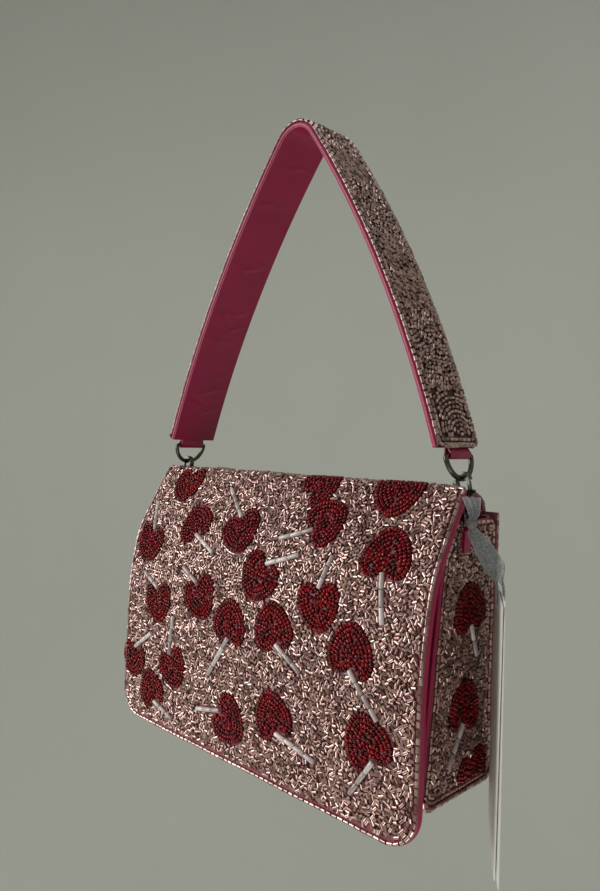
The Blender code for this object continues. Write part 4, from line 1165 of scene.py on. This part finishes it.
def flap_stations(start, end, pitch=2.5):
    """Places along the flap, closer together round its corners."""
    straight = np.linspace(start, CORNER_START, int((CORNER_START - start) / pitch))
    corner = CORNER_START + FLAP_CORNER * np.sin(np.linspace(0, math.pi / 2, 12))
    return [v for v in [*straight, *corner[1:]] if v <= end + 1e-6]


def flap_outline(inset, start):
    """The flap's outline, drawn in by an inset, from a place along it to its lower edge."""
    end = FALL_RUN - inset
    right = [(flap_half(v) - inset, min(v, end)) for v in flap_stations(start, end, 1.2)]
    return np.array(right + [(-u, v) for u, v in reversed(right)])


def edge_path(inset):
    """The line that runs along the flap's edge, from the fold round to the fold."""
    radius, side = FLAP_CORNER - inset, FLAP_SIDE - inset
    right = [(side, v) for v in np.linspace(-3.0, CORNER_START, 60)]
    right += [
        (side - radius + radius * math.cos(a), CORNER_START + radius * math.sin(a))
        for a in np.linspace(0, math.pi / 2, 16)[1:]
    ]
    return np.array(right + [(-u, v) for u, v in reversed(right)])


def lining_top(v):
    """The lining lies closer under the top, which has no board."""
    return TOP_LINING + (FLAP_LINING - TOP_LINING) * float(smooth_step(v, -3, 5))


def lining_foot(v):
    return lining_top(v) + LINING_THICK


def make_flap():
    """The flap's satin, beads and lining, and its bound and beaded edges."""
    rng = rng_for("flap")
    vs = flap_stations(-TOP_RUN, FALL_RUN)
    ground = sheet(FLAP, flap_half, vs, GROUND_TOP, GROUND_FOOT, 90)
    lay_ground("flap_ground_cloth", ground, FOLD, "flap_beadwork", "flap_top_beadwork")
    lining = sheet(
        FLAP,
        lambda v: flap_half(v) - 0.8,
        vs[:-1],
        lining_top,
        lining_foot,
        90,
        lambda u, v: waves(u, v, 6, 0.12, 21),
    )
    sew("flap_lining_cloth", lining, FOLD, "flap_lining", "flap_top_lining")

    outline = flap_outline(1.95, TOP_START)
    tubes, seeds, sticks = cover(FLAP, [*FLAP_HEARTS, *TOP_HEARTS], outline, rng)
    lay_flap_beads("cut_tubes", CUT_TUBE, *tubes, ROSE_GLASS)
    lay_flap_beads("heart_seeds", SEED, *seeds, RED_GLASS)
    on_top = [line[:, 1].mean() < -FOLD_REACH for line in sticks]
    for label, body, wanted in (("top", "bag", True), ("fall", "flap", False)):
        chosen = [line for line, top in zip(sticks, on_top) if top == wanted]
        lay_sticks(f"{label}_sticks", FLAP, chosen, body)

    # The row of beads along the edge, with the satin binding that carries it
    lay_rows("flap_edge_row", [row_along(FLAP, edge_path(0.85), rng)], "flap", "flap_edge_beads")
    roll_along("flap_binding_fold", FLAP, edge_path(1.95), 1.5, 0.4, 0.5, "flap")
    roll_along("flap_binding_side", FLAP, edge_path(0.5), 2.85, 0.95, 1.6, "flap")

    # The top's ends, bound and beaded as the fall's edge is
    for sign, label in ((-1, "left"), (1, "right")):
        end = np.full(40, sign * (TOP_SIDE - 0.5))
        run = np.column_stack([end, np.linspace(TOP_START, -9.6, 40)])
        roll_along(f"{label}_top_binding", FLAP, run, 2.1, 0.9, 1.25, "bag")
        path = np.vstack([run[:-2], np.array(TOP_STEP) * [sign, 1]])
        lay_rows(f"{label}_top_edge_row", [row_along(FLAP, path, rng, 0.6)], "bag")


# Back, base and sides
def make_body():
    """The base and the back: their satin, their beads and the rows along their seams."""
    rng = rng_for("body")
    for label, face, steps in (("base", BASE, 40), ("back", BACK, 50)):
        vs = np.linspace(face.start, face.end, steps)
        ground = sheet(face, BODY_SIDE, vs, GROUND_TOP, GROUND_FOOT, 70)
        lay_ground(f"{label}_ground_cloth", ground, "bag", f"{label}_panel")
    # The back's face runs upwards, and its hearts are listed from the top down
    back_hearts = [
        (u, BACK.end - v, 180 - tip, size, 180 - way, length, bend)
        for u, v, tip, size, way, length, bend in BACK_HEARTS
    ]
    side, seam, top_seam = BODY_SIDE - 2.2, BODY_SIDE - 0.9, BODY_SIDE - 3.4
    for label, face, hearts, room in (
        ("back", BACK, back_hearts, 2.2),
        ("base", BASE, BASE_HEARTS, 0.4),
    ):
        run = face.end
        outline = [(side, 0.4), (side, run - room), (-side, run - room), (-side, 0.4)]
        lay_cover(label, face, hearts, outline, rng)
        rows = [row_along(face, [(u, 1.6), (u, run - 1.6)], rng) for u in (-seam, seam)]
        if label == "back":
            line = [(-top_seam, run - 0.9), (top_seam, run - 0.9)]
            rows.append(row_along(face, line, rng))
        lay_rows(f"{label}_seam_rows", rows, "bag")


def side_edge(inset):
    """The outline of a side as (to the back, below the crest)."""
    front = [(LIP_Y + inset + 1.1, SIDE_MOUTH + inset), (FOOT_Y + inset + 0.9, SIDE_BEND)]
    foot = SIDE_FOOT - inset
    low = [(FOOT_Y + BOTTOM_ROUND, foot), (BACK_Y - BOTTOM_ROUND, foot)]
    behind = BACK_Y - 2.4 - inset
    back = [(behind, SIDE_BEND - 1), (behind, 17.5 + inset)]
    top = [(BACK_Y - 5.0, SIDE_TOP + inset), (-1.5, SIDE_TOP + inset)]
    return np.array([*front, *low, *back, *top])


def make_side(label, sign):
    """A side's satin and beads, the rows round it and the piping along its front seam."""
    face = SIDES[label]
    rng = rng_for(label)
    upper = np.linspace(SIDE_TOP, SIDE_MOUTH, 8)
    vs = np.concatenate([upper, np.linspace(SIDE_MOUTH, SIDE_FOOT, 40)[1:]])
    front = np.interp(vs, *np.transpose(SIDE_FRONT))
    back = np.interp(vs, *np.transpose(SIDE_BACK))
    us = [np.linspace(*ends, 26) * sign for ends in zip(front, back)]
    points, faces = sheet_grid(face, us, vs, GROUND_TOP, GROUND_FOOT)
    if sign < 0:
        faces = [list(reversed(f)) for f in faces]
    lay_ground(f"{label}_side_ground_cloth", (points, faces), "bag", f"{label}_gusset")

    hearts = [
        (u * sign, -z, tip * sign, size, way * sign, length, bend * sign)
        for u, z, tip, size, way, length, bend in SIDE_HEARTS
    ]
    inner = side_edge(2.5) * [sign, 1]
    lay_cover(f"{label}_side", face, hearts, inner, rng, inner)
    edge = row_along(face, side_edge(1.2) * [sign, 1], rng, closed=True, size=SIDE_ROW_TUBE)
    lay_rows(f"{label}_side_edge_row", [edge], "bag", glass=ROSE_GLASS)

    # Beads on the side of the back and base, round the gusset
    round_low = quarter((22.5, BASE_Z + 6.1), 4.7, 0, -math.pi / 2, 8)
    round_front = quarter((FOOT_Y + 6.2, BASE_Z + 6.1), 4.7, -math.pi / 2, -math.pi * 0.9, 8)
    shell = np.array([(27.2, SEAM_Z - 1.5), *round_low, *round_front]) * [sign, -1]
    flat_side = Face(face.line, face.across, face.start)
    lay_rows(f"{label}_shell_edge_row", [row_along(flat_side, shell, rng, 0.35)], "bag")

    # Satin piping along the front seam
    seam_x = sign * (BODY_SIDE - 1.2)
    path = resample([(seam_x, -25.45, -122.2), (seam_x, LIP_Y - 1.2, MOUTH_Z)], 2.0)
    path[:, 1] += 0.15 * np.sin(path[:, 2] / 5)
    cord = sweep(path, -Y, round_section(1.2, 1.2, 16))
    sew(f"{label}_piping_cord", cord, "bag", f"{label}_piping")


def make_inside():
    """Front panel, linings and the satin that binds the mouth."""
    vs = np.linspace(0, FRONT.end, 48)
    sew("front_satin_panel", sheet(FRONT, PANEL_HALF, vs, 0.0, 0.8, 80), "bag", "front_panel")
    lining = sheet(
        FRONT, LINING_HALF, vs, 2.9, 3.5, 80, lambda u, v: waves(u, v, 6, 0.08, 31)
    )
    sew("front_lining_cloth", lining, "bag", "front_lining")
    us = np.linspace(-MOUTH_HALF, MOUTH_HALF, 60)
    lip = [(u, LIP_Y + 1.75, MOUTH_Z + 0.2) for u in us]
    section = [(1.95 * math.cos(a), 0.9 * math.sin(a)) for a in np.linspace(0, math.pi, 12)]
    sew("mouth_binding", sweep(lip, Z, [*section, (-1.95, -2.4), (1.95, -2.4)]), "bag")
    # The other linings keep the place of their solids, softly puckered
    for node in ("back_lining", "base_lining", "left_gusset_lining", "right_gusset_lining"):
        low, high = (np.array(c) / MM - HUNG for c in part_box(node))
        thin = int(np.argmin(high - low))
        one, two = [k for k in range(3) if k != thin]
        a, b = (
            np.linspace(low[k], high[k], int((high - low)[k] / 3) + 2) for k in (one, two)
        )
        grid_a, grid_b = np.meshgrid(a, b, indexing="ij")
        if "gusset" in node:
            grid_a = np.maximum(grid_a, np.interp(-grid_b, *np.transpose(LINING_FRONT)))
        pucker = waves(grid_a, grid_b, 6, 0.07, len(node))
        layers = []
        for level in (low[thin], high[thin]):
            points = np.zeros((*grid_a.shape, 3))
            points[..., one] = grid_a
            points[..., two] = grid_b
            points[..., thin] = level + pucker
            layers.append(points.reshape(-1, 3))
        sew(f"{node}_cloth", (np.vstack(layers), slab_faces(*grid_a.shape)), "bag", node)


# Strap
def slack(u, v):
    """The slack lining of the strap: short cross folds, gathered in a few places."""
    total = waves(u, v, 6, 0.16, 41)
    for at, middle, reach, height, slant in STRAP_CREASES:
        fold = (v - at - slant * u - 0.8 * np.sin(u / 3 + at)) / 1.15
        total = total + 1.5 * height * np.exp(-fold * fold - ((u - middle) / reach) ** 2)
    return -0.3 - 0.8 * total * (1 - (u / STRAP_HALF) ** 6)


def fan_angle(middle):
    """The way that the fans of tubes run at each place on the strap."""
    u, v = middle.T
    return math.pi / 2 + 1.25 * np.sin(v / 9.5 + 1.1 * np.sin(v / 31)) * np.cos(u / 12)


def strap_arcs(half, rng):
    """Tubes in arcs round a point near each end of the strap."""
    arcs = []
    for low, sign in ((0, 1), (STRAP_RUN, -1)):
        hub = np.array([-4.0 * sign, low + sign * 3.0])
        for radius in np.arange(2.0, ARC_REACH, STRAP_ROW_PITCH):
            turns = np.arange(rng.uniform(0, 0.5), 2 * math.pi, STRAP_TUBE_PITCH / radius)
            around = hub + radius * np.column_stack([np.cos(turns), np.sin(turns)])
            around += rng.normal(0, 0.08, around.shape)
            fits = (abs(around[:, 0]) < half) & (abs(around[:, 1] - low) > 4.3)
            fits &= abs(around[:, 1] - low) < ARC_END - 0.9
            way = turns[fits] + math.pi / 2 + rng.normal(0, 0.07, fits.sum())
            arcs.append(lay_on_strap(around[fits], way, rng))
    return arcs


def lay_on_strap(middle, angle, rng):
    return on_face(STRAP, middle, angle, STRAP_TUBE_DEPTH, *STRAP_TUBE, rng, STRAP_TILT)


def make_strap():
    """The strap's lining, its turned edges, its satin and its beads."""
    rng = rng_for("strap")
    vs = np.linspace(0, STRAP_RUN, 420)
    half = STRAP_HALF - 0.5
    us = [np.linspace(-half, half, 41)] * len(vs)
    lining = sheet_grid(STRAP, us, vs, -0.55, 0.0, slack)
    sew("strap_lining_cloth", lining, "strap", "strap_lining")

    # The turned edge: satin that rolls from the lining over each side of the strap
    for sign, label in ((-1, "front"), (1, "back")):
        edge = np.full(200, sign * (STRAP_HALF - 0.75))
        line = np.column_stack([edge, np.linspace(0, STRAP_RUN, 200)])
        roll_along(f"strap_{label}_edge_roll", STRAP, line, -1.1, 0.75, 1.15, "strap")

    half = STRAP_HALF - 0.2
    ground = sheet(STRAP, half, vs, STRAP_GROUND_TOP, STRAP_GROUND_FOOT, 12)
    # The strap's ground takes the darker satin: painted shade between its rows of beads
    lay_ground(
        "strap_ground_cloth", ground, "strap", "strap_beadwork", material=STRAP_SHADED_SATIN
    )

    # At each end the tubes lie in arcs round a point, and between them in loose fans
    half = STRAP_HALF - 4.2
    arcs = strap_arcs(half, rng)
    low, high = ARC_END - 0.6, STRAP_RUN - ARC_END + 0.6
    edge = half + 0.6
    inner = [(-edge, low), (edge, low), (edge, high), (-edge, high)]
    fill, angle = strew(rng, inner, [], STRAP_SPACING, fan_angle, *STRAP_TUBE)
    tubes = join(lay_on_strap(fill, angle, rng), *arcs)
    rows = []
    for inset, depth in ((0.75, -3.1), (2.65, -3.3)):
        side, end = STRAP_HALF - inset, STRAP_RUN - inset
        loop = [(-side, inset), (side, inset), (side, end), (-side, end)]
        rows.append(row_along(STRAP, loop, rng, depth, True))
    lay_beads("strap_cut_tubes", CUT_TUBE, tubes, ROSE_GLASS, "strap")
    lay_rows("strap_edge_rows", rows, "strap")


# Metal, boards, cards and tabs
def hang(label, sign):
    """The way down along a side's clasp, and the bar of the ring at the strap's end."""
    down = np.array([sign * math.sin(TILT[label]), 0, -math.cos(TILT[label])])
    return down, np.array(WIRE[label]) - down * RING_DROP


def d_ring_path(bar, down, half, corner):
    """The middle of the wire of a D ring that hangs down from the middle of its bar."""
    centre = bar + down * ARC_DROP
    turn = corner * (1 - math.cos(math.pi / 4))
    turns = np.linspace(0, math.pi, 40)
    return np.array([
        bar - Y * (half - corner),
        bar,
        bar + Y * (half - corner),
        bar + Y * (half - turn) + down * turn,
        *(centre + half * (math.cos(a) * Y + math.sin(a) * down) for a in turns),
        bar - Y * (half - turn) + down * turn,
    ])


def make_metal():
    """The ring at each strap end and the small ring at each side."""
    for sign, label in ((-1, "left"), (1, "right")):
        down, bar = hang(label, sign)
        small_bar = np.array(SIDE_BAR[label])
        for name, body, node, middle, way, ring in (
            ("strap_ring", "strap", "d_ring", bar, down, STRAP_RING),
            ("gusset_ring", "bag", "side_ring", small_bar, -down, SIDE_RING),
        ):
            half, corner, wire, sides = ring
            path = d_ring_path(middle, way, half, corner)
            shape = sweep(path, np.cross(down, Y), round_section(wire, wire, sides), True)
            obj = mesh_object(f"{label}_{name}", *shape, NICKEL)
            settle(obj, body, "dark_nickel", f"{label}_{node}")


def soften(node, width, segments=3):
    """Rounds the edges of a cast or turned node without touching its mesh."""
    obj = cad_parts[node]
    weld = obj.modifiers.new("weld", "WELD")
    weld.merge_threshold = 1e-5
    bevel = obj.modifiers.new("round", "BEVEL")
    bevel.width = width * MM
    bevel.segments = segments
    bevel.limit_method = "ANGLE"
    bevel.angle_limit = math.radians(38)
    bevel.use_clamp_overlap = True
    smooth = obj.modifiers.new("shade", "WEIGHTED_NORMAL")
    smooth.keep_sharp = False


def dress(node, material):
    """Gives a node of the model its material."""
    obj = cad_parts[node]
    obj.data.materials.clear()
    obj.data.materials.append(material)


def make_hardware():
    """Clasps, snap, boards and cards: the nodes of the model that show as they are."""
    parts = (("clasp_hook", 0.35), ("lever", 0.25), ("lever_pin", 0.08), ("swivel_eye", 0.12))
    for label in ("left", "right"):
        for part, width in parts:
            dress(f"{label}_{part}", NICKEL)
            soften(f"{label}_{part}", width)
    for node in ("snap_stud", "snap_socket", "snap_stud_washer", "snap_socket_washer"):
        dress(node, NICKEL)
        soften(node, 0.2)
    for node in ("front_board", "back_board", "base_board", "flap_board", "strap_core"):
        dress(node, BOARD)
    for node in ("front_card", "back_card"):
        dress(node, CARD)
        soften(node, 0.12, 2)


def make_tab(name, line, pitch, section, body, node):
    """A folded strip of satin along a line."""
    line = resample(line, pitch)
    sew(name, sweep(line, np.cross(turn_of(line), Y), section), body, node)


def make_tabs():
    """Satin tabs: a folded strip round the ring at each strap end and at each side."""
    for sign, label in ((-1, "left"), (1, "right")):
        _, bar = hang(label, sign)
        at = np.array([0.0 if sign < 0 else STRAP_RUN])
        leg, out = STRAP.along(at)[0] * sign, STRAP.out(at)[0]
        core = STRAP.place([0.0], at)[0] + out * 1.45
        top = core - leg * 8.7
        turns = np.linspace(0, math.pi, 18)
        bend = [bar + 1.65 * (math.cos(a) * out + math.sin(a) * leg) for a in turns]
        lift = out * 0.4
        line = [top + lift, core + lift, *bend, core - lift, top - lift]
        section = [(7.75 * s, d) for s, d in TAB_SECTION]
        make_tab(f"{label}_strap_tab_cloth", line, 0.6, section, "strap", f"{label}_strap_tab")

        bar = np.array(SIDE_BAR[label])
        away = X * sign
        inner = np.array([sign * (BODY_SIDE + 0.55), 0, bar[2]])
        outer = inner + away * 0.8
        turns = np.linspace(0, math.radians(230), 18)
        bend = [bar + 1.25 * (math.cos(a) * -away + math.sin(a) * Z) for a in turns]
        low = [outer - Z * 2.5 + away * 0.3, outer - Z * 11.5]
        line = [inner - Z * 11.5, inner - Z * 2.5, *bend, *low]
        section = [(2.4 * s, d) for s, d in [(-1, -0.25), (1, -0.25), (1, 0.25), (-1, 0.25)]]
        make_tab(f"{label}_side_tab_cloth", line, 0.5, section, "bag", f"{label}_side_tab")


# Ribbon
def gathered_strip(name, line, across, chords, folds, phase=0.0):
    """A strip of organza along a line, drawn together by folds that run along it.

    across holds the way across the strip at each place, and chords how wide the folded
    strip lies there. Returns the object and the sheet's length and area.
    """
    along = turn_of(line)
    across = unit(across - along * np.sum(across * along, 1, keepdims=True))
    outs = np.cross(along, across)
    shares = np.linspace(-1, 1, 33)
    rows, columns = len(line), len(shares)
    length = distances(line)[-1]
    # What is spare of the width goes into waves, so less spread means higher folds
    grid = []
    for k, at in enumerate(distances(line) / length):
        chord = chords[k]
        spare = math.sqrt(max(RIBBON_CUT - chord, 0) * chord)
        height = min(0.62 * spare / (folds * math.pi) + 0.12, 1.0)
        turn = phase + 0.9 * math.sin(5 * at + phase)
        wave = height * np.sin(folds * math.pi * shares + turn) * (0.75 + 0.25 * np.cos(3 * shares))
        grid.append(line[k] + across[k] * (chord / 2 * shares)[:, None] + outs[k] * wave[:, None])
    grid = np.vstack(grid)
    normal = np.repeat(outs, columns, 0) * 0.05
    layers = np.vstack([grid + normal, grid - normal])
    obj = mesh_object(name, layers, slab_faces(rows, columns), ORGANZA)
    write_values(obj.data, "selvedge", np.tile(smooth_step(abs(shares), 0.86, 0.98), 2 * rows))
    quads = grid.reshape(rows, columns, 3)
    one, two = np.diff(quads, axis=0)[:, :-1], np.diff(quads, axis=1)[:-1]
    area = np.linalg.norm(np.cross(one, two), axis=2).sum()
    return obj, length, min(area, RIBBON_CUT * length)


def turned_about_z(vector, angle):
    c, s = math.cos(angle), math.sin(angle)
    return np.array([vector[0] * c - vector[1] * s, vector[0] * s + vector[1] * c, vector[2]])


def ribbon_leg(side):
    """One leg of the doubled ribbon, from the knot down to the cards."""
    places = []
    for reach, fall in RIBBON_LINE:
        quarter_turn = -math.pi / 2 * (1 - float(smooth_step(fall, 0.45, 0.8)))
        apart = turned_about_z(TAG_OUT, quarter_turn)
        middle = KNOT + TAG_OUT * RIBBON_REACH * reach - Z * RIBBON_FALL * fall
        places.append(middle + apart * side * (0.7 if fall < 0.1 else 1.3))
    return smooth_line(places)


def make_knot():
    """The knot: soft lobes pulled together."""
    rows, columns = 18, 24
    points = []
    faces = []
    for i in range(rows + 1):
        low = math.pi * i / rows
        for j in range(columns):
            around = 2 * math.pi * j / columns
            r = 2.35 * (1 - 0.16 * math.cos(3 * around) ** 2 * math.sin(low))
            r *= 1 + 0.05 * math.sin(7 * around + 2 * low)
            level = math.sin(low)
            way = [level * math.cos(around), level * math.sin(around), math.cos(low)]
            points.append(KNOT + r * np.array(way))
    for i in range(rows):
        for j in range(columns):
            k = (j + 1) % columns
            ring, below = i * columns, (i + 1) * columns
            faces.append((ring + j, below + j, below + k, ring + k))
    knot = mesh_object("organza_knot", np.array(points), faces, ORGANZA)
    knot.modifiers.new("weld", "WELD").merge_threshold = 1e-5
    settle(knot, "bag", "grey_organza", "ribbon_knot")


def make_ribbon():
    """A doubled ribbon: it hangs broad from the knot, then turns edge on into the cards."""
    down, up = ribbon_leg(1), ribbon_leg(-1)
    foot = (down[-1] + up[-1]) / 2
    turn = [
        foot + 1.3 * (math.cos(a) * TAG_OUT - math.sin(a) * Z)
        for a in np.linspace(0, math.pi, 9)[1:-1]
    ]
    line = resample(np.vstack([down, turn, up[::-1]]), 0.6)
    falls = (KNOT[2] - line[:, 2]) / RIBBON_FALL
    angles = -math.pi / 2 * (1 - smooth_step(falls, 0.45, 0.8))
    across = np.array([turned_about_z(TAG_ACROSS, a) for a in angles])
    chords = np.interp(falls, *np.transpose(RIBBON_SPREAD))
    ribbon, length, area = gathered_strip("organza_ribbon", line, across, chords, 2.0)
    settle(ribbon, "tags", "grey_organza", "ribbon")
    make_knot()

    # The cut end above the knot, spread like a fan
    tail = resample(smooth_line(KNOT + np.array(TAIL_LINE)), 0.5)
    across = np.array([turned_about_z(TAG_OUT, -0.25)] * len(tail))
    chords = np.interp(np.linspace(0, 1, len(tail)), [0, 0.3, 1], [2.2, 4.6, 7.4])
    piece, length, area = gathered_strip("organza_tail", tail, across, chords, 3.0, 1.1)
    settle(piece, "bag", "grey_organza")


# Setting: the bowl in millimetres, the lamps and the camera's place in metres
FLOOR_Z, BOWL_RADIUS, BOWL_CORNER, BOWL_TOP = -1150.0, 1600.0, 600.0, 1700.0
BOWL_SIDES = 96
# Name, place, what it faces, size, and power in watts
LAMPS = (
    ("window", (-0.78, -0.85, 0.02), (0, 0, -0.24), (0.8, 0.9), 10.0),
    ("upper", (-0.1, -0.1, 1.0), (0, 0, -0.1), (0.7, 0.7), 2.2),
    ("lower", (0.26, -0.26, -0.75), (-0.03, 0, -0.15), (0.4, 0.4), 1.25),
)
CAMERA_PLACE = (0.2542, -0.2625, -0.1522)
CAMERA_FORWARD = (-0.7037, 0.7105, -0.0081)
CAMERA_RIGHT = (0.7101, 0.7036, 0.0253)
# Focal length and picture height in pixels, and the height of the sensor
FOCAL_PIXELS, PICTURE_PIXELS, SENSOR = 726.12, 891, 36.0


def make_bowl():
    """A pale sweep under and all round the bag, matt like painted board."""
    material, tree, shader = new_material("pale_painted_sweep", roughness=0.9)
    place = add(tree, "ShaderNodeTexCoord").outputs["Object"]
    cloud = add(tree, "ShaderNodeTexNoise", {"Vector": place, "Scale": per_mm(400)}).outputs["Fac"]
    mixed = add(
        tree,
        "ShaderNodeMix",
        {"Factor": cloud, "A": colour("#d6d7cf"), "B": colour("#ddded7")},
        data_type="RGBA",
    )
    tree.links.new(mixed.outputs["Result"], shader.inputs["Base Color"])
    profile = [(0.0, FLOOR_Z), (BOWL_RADIUS - BOWL_CORNER, FLOOR_Z)]
    profile += [
        (BOWL_RADIUS - BOWL_CORNER * (1 - math.sin(a)), FLOOR_Z + BOWL_CORNER * (1 - math.cos(a)))
        for a in np.linspace(0, math.pi / 2, 14)[1:]
    ]
    profile += [(BOWL_RADIUS, BOWL_TOP)]
    around = np.arange(BOWL_SIDES) * 2 * math.pi / BOWL_SIDES
    points = [(r * math.cos(a), r * math.sin(a), z) for r, z in profile for a in around]
    faces = []
    for i in range(len(profile) - 1):
        for k in range(BOWL_SIDES):
            ring, above, side = i * BOWL_SIDES, (i + 1) * BOWL_SIDES, (k + 1) % BOWL_SIDES
            faces.append((ring + k, above + k, above + side, ring + side))
    mesh_object("pale_bowl", np.array(points) - HUNG, faces, material)


def make_setting():
    """The bowl, a dim even sky, soft lamps, and the camera."""
    make_bowl()
    world = bpy.data.worlds.new("studio")
    bpy.context.scene.world = world
    world.use_nodes = True
    background = world.node_tree.nodes["Background"]
    background.inputs["Color"].default_value = colour("#c8cac8")
    background.inputs["Strength"].default_value = 0.48

    for name, place, target, size, power in LAMPS:
        lamp = bpy.data.lights.new(name, "AREA")
        lamp.shape = "RECTANGLE"
        lamp.size, lamp.size_y = size
        lamp.energy = power
        obj = place_object(name, lamp)
        obj.location = place
        obj.visible_camera = False
        aim = Vector(target) - Vector(place)
        obj.rotation_euler = aim.to_track_quat("-Z", "Y").to_euler()

    camera = bpy.data.cameras.new("camera")
    obj = place_object("camera", camera)
    forward = unit(np.array(CAMERA_FORWARD))
    right = np.array(CAMERA_RIGHT)
    right = unit(right - forward * right.dot(forward))
    up = np.cross(right, forward)
    turn = Matrix([right, up, -forward]).transposed().to_4x4()
    obj.matrix_world = Matrix.Translation(CAMERA_PLACE) @ turn
    camera.sensor_width = SENSOR
    camera.lens = SENSOR * FOCAL_PIXELS / PICTURE_PIXELS
    camera.clip_start = 0.01
    bpy.context.scene.camera = obj
    bpy.context.scene.view_settings.view_transform = "Standard"


make_setting()
make_flap()
make_body()
make_side("left", -1)
make_side("right", 1)
make_inside()
make_strap()
make_metal()
make_tabs()
make_hardware()
make_ribbon()
